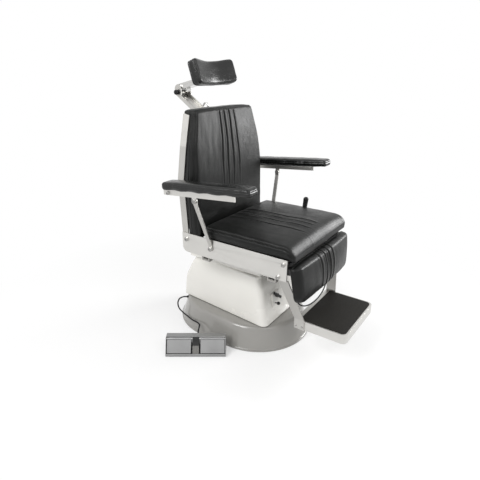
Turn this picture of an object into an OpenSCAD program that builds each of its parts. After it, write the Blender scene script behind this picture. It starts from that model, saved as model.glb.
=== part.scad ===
// Ear, nose and throat examination chair on a lifting pedestal.
// The origin is on the floor on the swivel axis. +X is forward, +Y is the patient's left, +Z is up.

/* [Base] */
// Radius of the round ends at the foot of the base wall
base_r = 256; // [246:1:258]
// Distance between the centres of the two round ends
base_run = 170; // [140:1:190]
// Height of the base top above the floor
base_h = 112; // [96:1:113]
// Shell thickness of the base pan
base_t = 5; // [4:0.5:8]
// How far the foot rim stands out from the wall
rim_out = 6; // [4:1:8]
// Height of the foot rim
rim_h = 9; // [6:1:14]
// Radius of the rounded upper edge of the pan
base_round = 22; // [14:1:28]
// Lean of the pan's walls in degrees
base_lean = 18; // [10:1:20]

/* [Lift] */
// Stroke of the lifting column
lift_travel = 180; // [100:10:190]
// Outer diameter of the fixed column tube
column_d = 170; // [150:2:190]
// Wall of both column tubes
column_t = 6; // [5:0.5:9]
// Height of the underside of the carrier plate at the lowest position
carrier_z = 350; // [342:1:356]
// Thickness of the carrier plate
carrier_t = 14; // [10:1:15]

/* [Upper cover] */
// Length of the cover from the swivel axis to its lower front edge
cover_half_len = 242; // [232:1:246]
// Length of the cover from the swivel axis to its lower rear edge
cover_rear_len = 290; // [280:1:296]
// Half width of the cover at its lower front corners
cover_front_w = 181; // [170:1:190]
// Half width of the cover at its lower rear corners
cover_rear_w = 146; // [140:1:156]
// Gap between the base top and the cover's lower edge
cover_gap = 3; // [2:0.5:6]
// Wall of the cover
cover_t = 4; // [3:0.5:6]

/* [Seat frame] */
// Half distance over the two side panels
panel_y = 255; // [250:1:262]
// Thickness of a side panel
panel_t = 5; // [4:0.5:7]
// Height of the panel's upper edge
panel_top = 518; // [512:1:524]
// Height of the panel's lower edge
panel_bottom = 425; // [418:1:432]
// Rear end of the panels, measured back from the swivel axis
panel_rear = 171; // [165:1:180]
// Front end of the panels
panel_front = 379; // [372:1:384]
// Top of the seat cushion at its crown
seat_top = 590; // [580:1:600]
// Half width of the seat cushion above the panels
seat_half_w = 257; // [250:1:262]

/* [Backrest] */
// Height of the backrest's top edge
back_top = 1054; // [1036:1:1070]
// Width of the flat rails, seen from the side
rail_w = 34; // [28:1:38]
// Thickness of the rails
rail_t = 6; // [5:0.5:8]
// Half width of the backrest at its upper edge
back_top_w = 203; // [190:1:215]
// Half width of the backrest at armrest level
back_mid_w = 249; // [244:1:249]
// Largest recline angle in degrees
recline_max = 75; // [40:1:80]

/* [Armrests] */
// Half distance over the armrest bars
arm_y = 335; // [330:1:342]
// Height of an armrest bar
bar_h = 26; // [22:1:28]
// Length of an armrest pad
arm_pad_len = 448; // [430:1:460]
// Width of an armrest pad
arm_pad_w = 72; // [66:1:76]
// Height of an armrest pad above its plate
arm_pad_h = 31; // [26:1:34]
// Tilt of the armrests in degrees
arm_tilt = 4.7; // [4:0.1:5.5]

/* [Headrest] */
// Half width of the headrest pad
head_half_w = 136; // [115:1:142]
// Height of the headrest pad along its face
head_h = 108; // [98:1:112]
// Thickness of the headrest pad
head_t = 54; // [44:1:56]
// Height stroke of the headrest mast
mast_travel = 90; // [60:5:100]

/* [Leg support] */
// Half distance over the leg arms at the foot tray
tray_y = 166; // [160:1:172]
// Width of a leg arm, seen from the side
leg_arm_w = 47; // [40:1:48]
// Front end of the foot tray
tray_front = 612; // [590:1:640]
// Height of the foot tray's upper rim
tray_top = 209; // [204:1:214]
// Height of the foot tray's rim
tray_h = 42; // [34:1:46]
// Thickness of the calf pad at its edge
calf_t = 32; // [28:1:36]

/* [Foot switch] */
// Length of the foot switch housing
switch_len = 274; // [260:1:280]
// Depth of the foot switch housing
switch_depth = 76; // [70:1:80]
// Height of the foot switch housing
switch_h = 78; // [72:1:82]

/* [Hidden] */

// Shared clearances and overruns
cut = 1;
soft_gap = 0.4;
face_gap = 0.5;
run_gap = 0.05;
slide_gap = 1;
thin = 0.1;
round_fn = 48;

// Base details
plate_t = 8;
pan_hole_gap = 6;
column_z = 300;
column_flange_r = 105;
column_flange_t = 10;
motor_x = 165;
motor_r = 30;
motor_len = 150;
motor_box = 80;
motor_box_h = 70;
spindle_r = 14;
nut_r = 30;
nut_h = 30;

// Lift details
inner_gap = 0.08;
inner_z = 40;
carrier_half_w = 150;
carrier_rear = 222;
carrier_front = 190;
bearing_r = 130;
bearing_hole_r = 45;
bearing_h = 20;

// Upper cover sections: half length front, half length rear, share of the lower width, height
cover_r = 28;
cover_z = base_h + cover_gap;
cover_low_z = 225;
cover_low_rear = 277;
cover_mid_z = 250;
cover_shoulder_z = 305;
cover_drop = 4;
cover_top_z = carrier_z - cover_drop;
cover_mid_front = 222;
cover_mid_rear = 262;
cover_shoulder_front = 206;
cover_shoulder_rear = 236;
cover_top_front = 182;
cover_top_rear = 210;
cover_taper_share = [0.988, 0.985, 0.95, 0.86];
cover_low_front = cover_half_len - (cover_half_len - cover_mid_front) * (cover_low_z - cover_z)
    / (cover_mid_z - cover_z);
spacer_disc_r = 12;
spacer_x = 150;
spacer_y = 105;

// Front controls of the upper cover
lock_y = -71;
lock_up = 120;
bezel_w = 68;
bezel_h = 70;
bezel_t = 5;
bezel_r = 10;
bezel_drop = 18;
bezel_seat = 0.3;
lock_hub_r = 9;
lock_shaft_r = 4.5;
lock_hub_l = 12;
lock_bar_l = 68;
lock_bar_w = 12;
lock_bar_t = 6;
lock_tilt = 39;
pull_down = 34;
pull_y = 14;
pull_rod_r = 2.5;
pull_rod_l = 18;
pull_rod_in = 24;
pull_ball_r = 8;
bore_gap = 0.3;
face_slope = atan2(cover_half_len - cover_mid_front, cover_mid_z - cover_z);

// Seat frame details
beam_w = 44;
beam_top = 490;
beam_bottom = 425;
beam_front_x = 307;
beam_rear_x = -40;
frame_half_w = 130;
frame_t = 8;
frame_front = 340;
frame_rear = 92;
panel_in = panel_y - panel_t;
panel_round = 26;
seat_board_t = 9;
seat_rear = -42;
seat_front = 408;
seat_in_front = panel_front + 4;
seat_side_gap = 7;
board_side_gap = 14;
seat_low = beam_top + seat_board_t + soft_gap;

// Recline pivot and the armrest four-bar linkage, seen from the side
back_px = -146;
back_pz = 488;
strut_px = -2;
strut_pz = 476;
arm_rise = 233;
arm_back = 18;
arm_px = back_px - arm_back;
arm_pz = back_pz + arm_rise;
lug_px = strut_px - arm_back;
lug_pz = strut_pz + arm_rise;
pivot_r = 6;
head_r = 10;
head_hex_t = 5;
nut_t = 6;
eye_r = 17;
strut_w = 20;
strut_t = 5;
strut_eye_r = 11;
strut_bend = 17;
strut_low_y = panel_y + slide_gap + strut_t;
bar_t = 5;
bar_plate_t = 3;
bar_rear = 26;
bar_front = 352;
lug_y = arm_y - bar_t;
strut_high_y = lug_y - slide_gap;
lug_w = 22;
arm_pad_rear = 14;
arm_pad_in = 10;
bar_drop = 8.5;
bar_plate_w = 40;
arm_pad_round = 12;
arm_pin_r = 5.5;
spacer_r = 7.5;

// Rail stations: x of the rail's middle, half width and height, from the pivot to the top
rail_mid_x = -169;
rail_mid_z = 760;
rail_bend_x = -157;
rail_bend_z = 905;
rail_bend_w_share = 0.73;
rail_top_x = -160;
rail_low_x = -154;
back_over = 19;
rail_top_z = back_top - back_over;
rail_y = panel_in - slide_gap;
back_bend_w = back_top_w + (back_mid_w - back_top_w) * rail_bend_w_share;

// Back shell and cushion
shell_t = 12;
shell_inset = 10;
shell_low = 530;
back_low = 522;
back_face_low = -66;
back_face_mid = -70;
back_face_top = -100;
tie_r = 12;
tie_z = 560;
tie_high_z = 820;
shell_side_gap = 7.5;

// Headrest mechanism
mast_x = -196;
mast_w = 44;
mast_t = 8;
guide_w = 80;
guide_t = 26;
guide_low = 860;
guide_h = 105;
mast_stop = 6;
mast_low = guide_low - mast_travel - mast_t - mast_stop;
elbow_x = -358;
elbow_z = 1124;
elbow_r = 22;
ear_r = 20;
ear_in = 0.5;
elbow_pin_r = 7;
elbow_pin_out = 2;
strap_slope = 34.2;
strap_drop = 30;
strap_w = 74;
strap_t = 5;
strap_h = 17;
strap_gap = 1;
strap_len = (mast_x - elbow_x) / cos(strap_slope) + strap_drop * tan(strap_slope);
mast_top = elbow_z - strap_drop / cos(strap_slope) - (mast_x - elbow_x) * tan(strap_slope);
knob_r = 11;
knob_l = 16;
knob_hub_r = 3;
knob_down = 14;
wrist_x = -216;
wrist_z = 1168;
arm_root_r = 14;
arm_root_up = 8;
wrist_r = 11;
wrist_pin_r = 5;
head_arm_w = 56;
head_lug_w = 24;
head_top_x = -161;
head_top_z = 1260;
head_lean = 19;
head_plate_t = 4;
head_plate_w = 150;
head_plate_h = 64;
head_dish = 28;
head_dip = 7;
ring_r = 17;
ring_wire = 4;
ring_z = 1052;
ring_x = -222;

// Leg support details
leg_top_x = 363;
leg_top_z = 497;
leg_bolt_x = 340;
leg_bolt_z = 436;
leg_bolt_r = 5;
leg_bolt_head = 9;
leg_arm_t = 5;
leg_bend_z = 428;
leg_bend_x = 336;
leg_low_x = 379;
leg_low_z = 214;
calf_top_x = 393;
calf_top_z = 495;
calf_low_z = 318;
calf_lean = 4.5;
calf_board_t = 6;
calf_top_w = 250;
calf_low_w = 226;
calf_bulge = 14;
tray_wall = 3;
tray_r = 24;
mat_t = 6;
mat_rise = 3;
mat_inset = 9;
mat_rear_gap = 22;
bail_r = 3;
bail_drop = 86;
bail_skew = 45;
bail_y0 = -191;
bail_y1 = 91;
bail_clip_r = 6;
bail_clip_l = 14;
calf_board_in = 21.5;
bracket_w = 26;
bracket_low = 452;
bracket_h = 26;
bracket_back = 36;

// Recline lever on the patient's left side
lever_x = 168;
lever_z = 468;
lever_t = 6;
lever_w = 16;
lever_hub_r = 14;
lever_pin_r = 7;
lever_len = 84;
lever_out = 18;
grip_r = 11;
grip_len = 66;
grip_lean = 6;

// Foot switch pose and details
switch_x = -4;
switch_out = 124;
switch_y = -base_r - switch_out;
switch_turn = 35.4;
switch_wall = 3;
switch_back = 25;
rod_hold = 5;
switch_front_h = 10;
switch_foot_h = 3;
pedal_gap = 3;
pedal_t = 4;
pedal_in = 22;
pedal_hinge_r = 3;
pedal_lug = 9;
pedal_drop = 6;
spring_r = 6;
contact_w = 10;
relief_r = 7;
relief_tip_r = 5;
relief_len = 30;
relief_z = 30;

// Cord of the foot switch: outer diameter and the points of its route
cord_d = 7;
cord_sides = 10;
cord_steps = 6;
cord_points = [[-260.5, -154.8, 101], [-274, -167, 101], [-284, -186, 96], [-281, -203, 80], [-264, -214, 61],
    [-232, -220, 49], [-190, -230, 46], [-146, -247, 51], [-106, -256, 56], [-80, -267, 55], [-68, -290, 42],
    [-53.8, -309.9, 30], [-43.4, -324.6, 30]];
gland_r = 6;
gland_len = 22;
gland_in = 212;
gland_z = 101;
gland_turn = 221.4;

// Pleats sewn along the middle of the seat, back and calf pads
pleat_step = 46;
pleat_depth = 4;
pleat_w = 9;
pleat_place_shares = [-1.65, -0.65, 0.3, 1.35];

black = "#33373a";
steel = "#c4c3c0";
ivory = "#e9e7e1";
grey = "#9a9792";
rubber = "#22242a";
dark = "#3d3f42";
chrome = "#d8dadd";

// A cylinder along Y between two places
module pin_y(x, z, r, y0, y1) {
    translate([x, y0, z])
        rotate([-90, 0, 0])
            cylinder(r = r, h = y1 - y0, $fn = round_fn);
}

// A flat plate whose outline lies in the X-Z plane, from y0 towards +Y
module side_plate(points, y0, t) {
    translate([0, y0 + t, 0])
        rotate([90, 0, 0])
            linear_extrude(height = t)
                polygon(points);
}

// A box between two corners
module block(a, b) {
    translate(a)
        cube(b - a);
}

// A copy on the patient's left of a shape drawn on the right
module left_copy() {
    mirror([0, 1, 0])
        children();
}

function arc(cx, cz, r, a0, a1, n = 8) = [for (i = [0:n]) let (a = a0 + (a1 - a0) * i / n)
    [cx + r * cos(a), cz + r * sin(a)]];

// Base: a profile swept round a stadium
module stadium_solid(profile) {
    mirrored = [for (i = [len(profile) - 1:-1:0]) [-profile[i][0], profile[i][1]]];
    for (s = [-1, 1])
        translate([s * base_run / 2, 0, 0])
            rotate_extrude($fn = 96)
                polygon(profile);
    rotate([90, 0, 90])
        translate([0, 0, -base_run / 2])
            linear_extrude(height = base_run)
                polygon(concat(profile, mirrored));
}

wall_rise = (base_h - base_round - rim_h - rim_out + (base_round + rim_out) * sin(base_lean)) / cos(base_lean);
round_x = base_r + rim_out - (rim_out + base_round) * cos(base_lean) - wall_rise * sin(base_lean);
wall_x = base_r + rim_out - (rim_out + base_t) * cos(base_lean);
wall_z = rim_h + rim_out - (rim_out + base_t) * sin(base_lean);
function pan_in_x(z) = wall_x + (wall_z - z) * tan(base_lean);

function pan_profile() = concat(
    [[0, 0], [base_r + rim_out, 0], [base_r + rim_out, rim_h]],
    arc(base_r + rim_out, rim_h + rim_out, rim_out, 270, 180 + base_lean),
    arc(round_x, base_h - base_round, base_round, base_lean, 90),
    [[0, base_h]]);

function pan_inside() = concat(
    [[0, -cut], [pan_in_x(-cut), -cut]],
    arc(round_x, base_h - base_round, base_round - base_t, base_lean, 90),
    [[0, base_h - base_t]]);

module base_pan() {
    color(grey)
        difference() {
            stadium_solid(pan_profile());
            stadium_solid(pan_inside());
            translate([0, 0, base_h / 2])
                cylinder(r = column_d / 2 + pan_hole_gap, h = base_h, $fn = 96);
            gland_place()
                cylinder(r = gland_r + run_gap, h = gland_len + cut, $fn = round_fn);
        }
}

module base_plate() {
    r = pan_in_x(plate_t) - face_gap;
    color(dark)
        linear_extrude(height = plate_t) {
            for (s = [-1, 1])
                translate([s * base_run / 2, 0])
                    circle(r = r, $fn = 96);
            square([base_run, 2 * r], center = true);
        }
}

module column_outer() {
    color(dark)
        translate([0, 0, plate_t])
            difference() {
                union() {
                    cylinder(r = column_d / 2, h = column_z - plate_t, $fn = 96);
                    cylinder(r = column_flange_r, h = column_flange_t, $fn = 96);
                }
                translate([0, 0, column_flange_t])
                    cylinder(r = column_d / 2 - column_t, h = column_z, $fn = 96);
            }
}

module lift_motor() {
    color(dark)
        translate([motor_x, 0, plate_t]) {
            translate([-motor_box / 2, -motor_box / 2, 0])
                cube([motor_box, motor_box, motor_box_h]);
            translate([0, 0, motor_box_h / 2])
                rotate([-90, 0, 0])
                    cylinder(r = motor_r, h = motor_len, $fn = round_fn);
        }
}

module lift_spindle() {
    color(steel)
        translate([0, 0, plate_t + column_flange_t]) {
            cylinder(r = spindle_r, h = column_z - plate_t - column_flange_t, $fn = round_fn);
            cylinder(r = nut_r, h = nut_h, $fn = round_fn);
        }
}

// Gland through the pan's wall, where the switch cord leaves
module gland_place() {
    translate([-base_run / 2, 0, gland_z])
        rotate([0, 90, gland_turn])
            translate([0, 0, gland_in])
                children();
}

module cord_gland() {
    color(rubber)
        gland_place()
            cylinder(r = gland_r, h = gland_len, $fn = round_fn);
}

// Swept cord: a smooth curve through the points, with a ring of corners at each step
function spline(a, b, c, d, t) = (2 * b + (c - a) * t + (2 * a - 5 * b + 4 * c - d) * t * t
    + (3 * b - a - 3 * c + d) * t * t * t) / 2;
function route_at(p, i, t) = let (n = len(p) - 1, a = i > 0 ? p[i - 1] : 2 * p[0] - p[1],
    d = i + 2 <= n ? p[i + 2] : 2 * p[n] - p[n - 1]) spline(a, p[i], p[i + 1], d, t);
function route(p, steps) = concat([for (i = [0:len(p) - 2], j = [0:steps - 1]) route_at(p, i, j / steps)],
    [p[len(p) - 1]]);
function unit(v) = v / norm(v);
function tangent(c, i) = i == 0 ? unit(c[1] - c[0]) : i == len(c) - 1 ? unit(c[i] - c[i - 1])
    : unit(unit(c[i] - c[i - 1]) + unit(c[i + 1] - c[i]));
function carried(n, t) = unit(n - t * (n * t));
function normals(c, i = 0, n = [0, 0, 1], out = []) = i == len(c) ? out
    : let (m = carried(n, tangent(c, i))) normals(c, i + 1, m, concat(out, [m]));
function ring(c, n, i, r, sides) = let (t = tangent(c, i), m = n[i], b = cross(t, m))
    [for (k = [0:sides - 1]) let (a = 360 * k / sides) c[i] + (m * cos(a) + b * sin(a)) * r];

module tube(points, r, sides, steps) {
    c = route(points, steps);
    n = normals(c);
    last = len(c) - 1;
    corners = [for (i = [0:last], p = ring(c, n, i, r, sides)) p];
    sides_faces = [for (i = [0:last - 1], k = [0:sides - 1]) let (k2 = (k + 1) % sides)
        each [[i * sides + k, (i + 1) * sides + k, (i + 1) * sides + k2],
            [i * sides + k, (i + 1) * sides + k2, i * sides + k2]]];
    polyhedron(points = corners, faces = concat(sides_faces,
        [[for (k = [0:sides - 1]) k], [for (k = [sides - 1:-1:0]) last * sides + k]]));
}

module switch_cord() {
    color(rubber)
        tube(cord_points, cord_d / 2, cord_sides, cord_steps);
}

// Foot switch, drawn along X and turned into place
module switch_place() {
    translate([switch_x, switch_y, 0])
        rotate([0, 0, switch_turn])
            children();
}

pedal_y = switch_depth / 2 - switch_back;
pedal_z = switch_h - pedal_hinge_r - pedal_t;

module switch_housing() {
    front = -switch_depth / 2;
    color(steel)
        switch_place()
            difference() {
                rotate([90, 0, 90])
                    translate([0, 0, -switch_len / 2])
                        linear_extrude(height = switch_len)
                            polygon([[front, switch_foot_h], [-front, switch_foot_h], [-front, switch_h],
                                [pedal_y - pedal_lug - rod_hold, switch_h], [front, switch_front_h]]);
                rotate([90, 0, 90])
                    translate([0, 0, switch_wall - switch_len / 2])
                        linear_extrude(height = switch_len - 2 * switch_wall)
                            polygon([[front + switch_wall, switch_foot_h + switch_wall],
                                [pedal_y - switch_wall, switch_foot_h + switch_wall],
                                [pedal_y - switch_wall, switch_h + cut], [front + switch_wall, switch_h + cut]]);
            }
}

module switch_divider() {
    front = -switch_depth / 2 + switch_wall + face_gap;
    rear = pedal_y - switch_wall - face_gap;
    hy = pedal_y - pedal_lug;
    half = pedal_in - pedal_gap - pedal_lug / 2;
    color(dark)
        switch_place()
            difference() {
                rotate([90, 0, 90])
                    translate([0, 0, -half])
                        linear_extrude(height = 2 * half)
                            polygon([[front, switch_foot_h + switch_wall], [rear, switch_foot_h + switch_wall],
                                [rear, pedal_z + rod_hold], [hy - rod_hold, pedal_z + rod_hold],
                                [hy - 2 * rod_hold, pedal_z - pedal_lug], [front, switch_front_h]]);
                translate([-half - cut, hy, pedal_z])
                    rotate([0, 90, 0])
                        cylinder(r = pedal_hinge_r + run_gap, h = 2 * (half + cut), $fn = round_fn);
            }
}

// Pedal outline seen from the end, sloping down from its hinge
pedal_front = -switch_depth / 2 + switch_wall + pedal_gap;
pedal_slope = atan2(pedal_z - switch_front_h - pedal_gap, pedal_y - pedal_lug - pedal_front);

module pedal_blank(x0, x1) {
    hy = pedal_y - pedal_lug;
    switch_place()
        difference() {
            union() {
                rotate([90, 0, 90])
                    translate([0, 0, x0])
                        linear_extrude(height = x1 - x0)
                            polygon([[hy, pedal_z], [hy, pedal_z + pedal_t],
                                [pedal_front, switch_front_h + pedal_gap + pedal_t],
                                [pedal_front, switch_front_h + pedal_gap]]);
                translate([x0, hy, pedal_z])
                    rotate([0, 90, 0])
                        cylinder(r = pedal_t + pedal_hinge_r / 2, h = x1 - x0, $fn = round_fn);
            }
            translate([x0 - cut, hy, pedal_z])
                rotate([0, 90, 0])
                    cylinder(r = pedal_hinge_r + run_gap, h = x1 - x0 + 2 * cut, $fn = round_fn);
        }
}

module pedal_up() {
    color(steel)
        pedal_blank(pedal_in, switch_len / 2 - switch_wall - pedal_gap);
}

module pedal_down() {
    color(steel)
        pedal_blank(pedal_gap + switch_wall - switch_len / 2, -pedal_in);
}

module switch_rods() {
    color(chrome)
        switch_place()
            translate([switch_wall - switch_len / 2, pedal_y - pedal_lug, pedal_z])
                rotate([0, 90, 0])
                    cylinder(r = pedal_hinge_r, h = switch_len - 2 * switch_wall, $fn = round_fn);
}

module switch_under_pedal(y) {
    for (s = [-1, 1])
        switch_place()
            translate([s * switch_len / 4, y, switch_foot_h + switch_wall])
                children();
}

function under_pedal(y) = pedal_z - (pedal_y - pedal_lug - y) * tan(pedal_slope);
spring_y = -6;
spring_gap = 4.5;
contact_y = -26;
contact_gap = 0.8;

module switch_springs() {
    h = under_pedal(spring_y - spring_r) - switch_foot_h - switch_wall - spring_gap;
    color(steel)
        switch_under_pedal(spring_y)
            cylinder(r = spring_r, h = h, $fn = round_fn);
}

module switch_contacts() {
    h = under_pedal(contact_y) - switch_foot_h - switch_wall - pedal_drop - contact_w / 2 - contact_gap;
    color(dark)
        switch_under_pedal(contact_y)
            translate([-contact_w / 2, -contact_w / 2, 0])
                cube([contact_w, contact_w, h]);
}

module switch_feet() {
    inset = switch_depth / 8;
    color(rubber)
        switch_place()
            for (s = [-1, 1], t = [-1, 1])
                translate([s * (switch_len / 2 - inset), t * (switch_depth / 2 - inset), 0])
                    cylinder(r = inset / 2, h = switch_foot_h, $fn = round_fn);
}

module switch_strain_relief() {
    color(rubber)
        switch_place()
            translate([0, switch_depth / 2, relief_z])
                rotate([-90, 0, 0])
                    cylinder(r1 = relief_r, r2 = relief_tip_r, h = relief_len, $fn = round_fn);
}

// Lifting part of the pedestal
module column_inner() {
    r = column_d / 2 - column_t - inner_gap;
    color(chrome)
        translate([0, 0, inner_z])
            difference() {
                cylinder(r = r, h = carrier_z - inner_z, $fn = 96);
                translate([0, 0, -cut])
                    cylinder(r = r - column_t, h = carrier_z - inner_z + 2 * cut, $fn = 96);
            }
}

module carrier_plate() {
    color(dark)
        difference() {
            block([-carrier_rear, -carrier_half_w, carrier_z],
                [carrier_front, carrier_half_w, carrier_z + carrier_t]);
            translate([0, 0, carrier_z - cut])
                cylinder(r = bearing_hole_r, h = carrier_t + 2 * cut, $fn = round_fn);
        }
}

module bearing_lower() {
    color(steel)
        translate([0, 0, carrier_z + carrier_t])
            difference() {
                cylinder(r = bearing_r, h = bearing_h, $fn = 96);
                translate([0, 0, -cut])
                    cylinder(r = bearing_hole_r, h = bearing_h + 2 * cut, $fn = 96);
            }
}

// One level of the cover: four rounded corners at a height
module cover_level(front, rear, share, z, inset) {
    w0 = cover_rear_w * share;
    w1 = cover_front_w * share;
    for (p = [[-rear, -w0], [-rear, w0], [front, -w1], [front, w1]])
        translate([p[0] - sign(p[0]) * cover_r, p[1] - sign(p[1]) * cover_r, z])
            cylinder(r = cover_r - inset, h = thin, $fn = 32);
}

module cover_skin(inset, low, high) {
    hull() {
        cover_level(cover_half_len, cover_rear_len, 1, cover_z - low, inset);
        cover_level(cover_low_front, cover_low_rear, cover_taper_share[0], cover_low_z, inset);
        cover_level(cover_mid_front, cover_mid_rear, cover_taper_share[1], cover_mid_z, inset);
        cover_level(cover_shoulder_front, cover_shoulder_rear, cover_taper_share[2], cover_shoulder_z, inset);
        cover_level(cover_top_front, cover_top_rear, cover_taper_share[3], cover_top_z - high, inset);
    }
}

module upper_cover() {
    color(ivory)
        difference() {
            cover_skin(0, 0, 0);
            cover_skin(cover_t, cut, cover_t);
            translate([0, 0, cover_shoulder_z])
                cylinder(r = column_d / 2 + pan_hole_gap, h = cover_top_z, $fn = 96);
            front_place()
                front_bores(bore_gap);
        }
}

module cover_spacers() {
    color(steel)
        for (x = [-spacer_x, spacer_x], y = [-spacer_y, spacer_y])
            translate([x, y, cover_top_z + thin])
                cylinder(r = spacer_disc_r, h = cover_drop - thin, $fn = round_fn);
}

// Front controls: a bezel with a swivel lock lever and a release pull under it.
// They are drawn with +X out of the cover's front face and +Z up along it.
module front_place() {
    translate([cover_half_len, lock_y, cover_z])
        rotate([0, -face_slope, 0])
            translate([0, 0, lock_up])
                children();
}

module front_rod(r, x0, x1) {
    translate([x0, 0, 0])
        rotate([0, 90, 0])
            cylinder(r = r, h = x1 - x0, $fn = round_fn);
}

module front_bores(gap) {
    front_rod(lock_shaft_r + gap, -pull_rod_in, lock_hub_l);
    translate([0, -pull_y, -pull_down])
        front_rod(pull_rod_r + gap, -pull_rod_in, pull_rod_in);
}

module lock_bezel() {
    color(ivory)
        front_place()
            difference() {
                translate([bezel_seat, 0, -bezel_drop])
                    rotate([90, 0, 90])
                        linear_extrude(height = bezel_t - bezel_seat)
                            hull()
                                for (s = [-1, 1], t = [-1, 1])
                                    translate([s * (bezel_w / 2 - bezel_r), t * (bezel_h / 2 - bezel_r)])
                                        circle(r = bezel_r, $fn = 32);
                front_bores(run_gap);
            }
}

module lock_lever() {
    color(rubber)
        front_place() {
            front_rod(lock_shaft_r, -lock_hub_l, bezel_t + face_gap + cut);
            front_rod(lock_hub_r, bezel_t + face_gap, bezel_t + lock_hub_l);
            rotate([-lock_tilt, 0, 0])
                translate([bezel_t + lock_hub_l - lock_bar_t, -lock_bar_l / 2, -lock_bar_w / 2])
                    cube([lock_bar_t, lock_bar_l, lock_bar_w]);
        }
}

module release_pull() {
    color(rubber)
        front_place()
            translate([0, -pull_y, -pull_down]) {
                front_rod(pull_rod_r, -pull_rod_in + cut, bezel_t + pull_rod_l);
                translate([bezel_t + pull_rod_l, 0, 0])
                    sphere(r = pull_ball_r, $fn = round_fn);
            }
}

// Turning seat structure
bearing_top = carrier_z + carrier_t + bearing_h + face_gap;

module bearing_upper() {
    color(steel)
        translate([0, 0, bearing_top])
            difference() {
                cylinder(r = bearing_r, h = bearing_h, $fn = 96);
                translate([0, 0, -cut])
                    cylinder(r = bearing_hole_r, h = bearing_h + 2 * cut, $fn = 96);
            }
}

module seat_frame() {
    z0 = bearing_top + bearing_h;
    color(dark) {
        block([-frame_rear - beam_w / 2, -frame_half_w, z0], [frame_front, frame_half_w, z0 + frame_t]);
        for (x = [beam_rear_x, beam_front_x])
            difference() {
                block([x - beam_w / 2, -panel_in, z0], [x + beam_w / 2, panel_in, beam_top]);
                block([x - beam_w / 2 + frame_t, -panel_in - cut, z0 + frame_t],
                    [x + beam_w / 2 - frame_t, panel_in + cut, beam_top - frame_t]);
            }
    }
}

function panel_outline() = concat(
    [[panel_front, panel_bottom], [panel_front, panel_top], [-panel_rear, panel_top]],
    arc(panel_round - panel_rear, panel_bottom + panel_round, panel_round, 180, 270));

module side_panel() {
    color(steel)
        difference() {
            side_plate(panel_outline(), -panel_y, panel_t);
            pin_y(back_px, back_pz, pivot_r + run_gap, -panel_y - cut, -panel_in + cut);
            pin_y(strut_px, strut_pz, pivot_r + run_gap, -panel_y - cut, -panel_in + cut);
            pin_y(leg_top_x, leg_top_z, leg_bolt_r + run_gap, -panel_y - cut, -panel_in + cut);
            pin_y(leg_bolt_x, leg_bolt_z, leg_bolt_r + run_gap, -panel_y - cut, -panel_in + cut);
        }
}

module side_panel_right() {
    side_panel();
}

module side_panel_left() {
    difference() {
        left_copy()
            side_panel();
        pin_y(lever_x, lever_z, lever_pin_r + run_gap, panel_in - cut, panel_y + cut);
    }
}

module seat_board() {
    color(dark)
        block([seat_rear, -panel_in + board_side_gap, beam_top],
            [seat_in_front, panel_in - board_side_gap, beam_top + seat_board_t]);
}

// Stitched cushion: a grid over the top with a crown, pleats and drawn-in sides, on a flat underside.
// Its length runs along X from -0.5 to 0.5 shares, its width along Y, and its underside lies at zero.
corner_share = 0.05;
side_share = [0.97, 1, 0.985];
side_high_share = [0, 0.45, 0.8];
crown_power = 6;

function pleat(y, fade) = let (d = [for (k = pleat_place_shares) abs(y - k * pleat_step)])
    -pleat_depth * fade * max(0, 1 - min(d) / pleat_w);
function edge_grid(n, power) = [for (i = [0:n]) let (a = 2 * i / n - 1) sign(a) * (1 - pow(1 - abs(a), power))];
function plan(a, b, l, w0, w1) = let (w = w0 + (w1 - w0) * (a + 1) / 2)
    [a * l * (1 - corner_share * pow(abs(b), crown_power)), b * w * (1 - corner_share * pow(abs(a), crown_power))];

module cushion(l, w0, w1, edge, crown, pleats, nx = 16, ny = 30) {
    ga = edge_grid(nx, 1.6);
    gb = edge_grid(ny, 1.25);
    edges = concat([for (i = [0:nx - 1]) [ga[i], -1]], [for (j = [0:ny - 1]) [1, gb[j]]],
        [for (i = [nx:-1:1]) [ga[i], 1]], [for (j = [ny:-1:1]) [-1, gb[j]]]);
    m = len(edges);
    top = [for (a = ga, b = gb) let (p = plan(a, b, l / 2, w0, w1), fade = 1 - pow(abs(a), 8),
        roll = (1 - pow(abs(a), crown_power)) * (1 - pow(abs(b), crown_power)))
        [p[0] * side_share[2], p[1] * side_share[2], edge + crown * roll + (pleats ? pleat(p[1], fade * roll) : 0)]];
    sides = [for (k = [0:2], e = edges) let (p = plan(e[0], e[1], l / 2, w0, w1))
        [p[0] * side_share[k], p[1] * side_share[k], edge * side_high_share[k]]];
    base = len(top);
    function at(e) = let (i = search(e[0], ga)[0], j = search(e[1], gb)[0]) i * (ny + 1) + j;
    index = concat([for (i = [0:nx - 1]) i * (ny + 1)], [for (j = [0:ny - 1]) nx * (ny + 1) + j],
        [for (i = [nx:-1:1]) i * (ny + 1) + ny], [for (j = [ny:-1:1]) j]);
    faces = concat(
        [for (i = [0:nx - 1], j = [0:ny - 1]) let (q = i * (ny + 1) + j)
            each [[q, q + 1, q + ny + 2], [q, q + ny + 2, q + ny + 1]]],
        [for (k = [0:1], e = [0:m - 1]) let (f = (e + 1) % m, q = base + k * m)
            each [[q + e, q + m + e, q + m + f], [q + e, q + m + f, q + f]]],
        [for (e = [0:m - 1]) let (f = (e + 1) % m, q = base + 2 * m)
            each [[q + e, index[e], index[f]], [q + e, index[f], q + f]]],
        [[for (e = [0:m - 1]) base + e]]);
    polyhedron(points = concat(top, sides), faces = faces);
}

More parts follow.
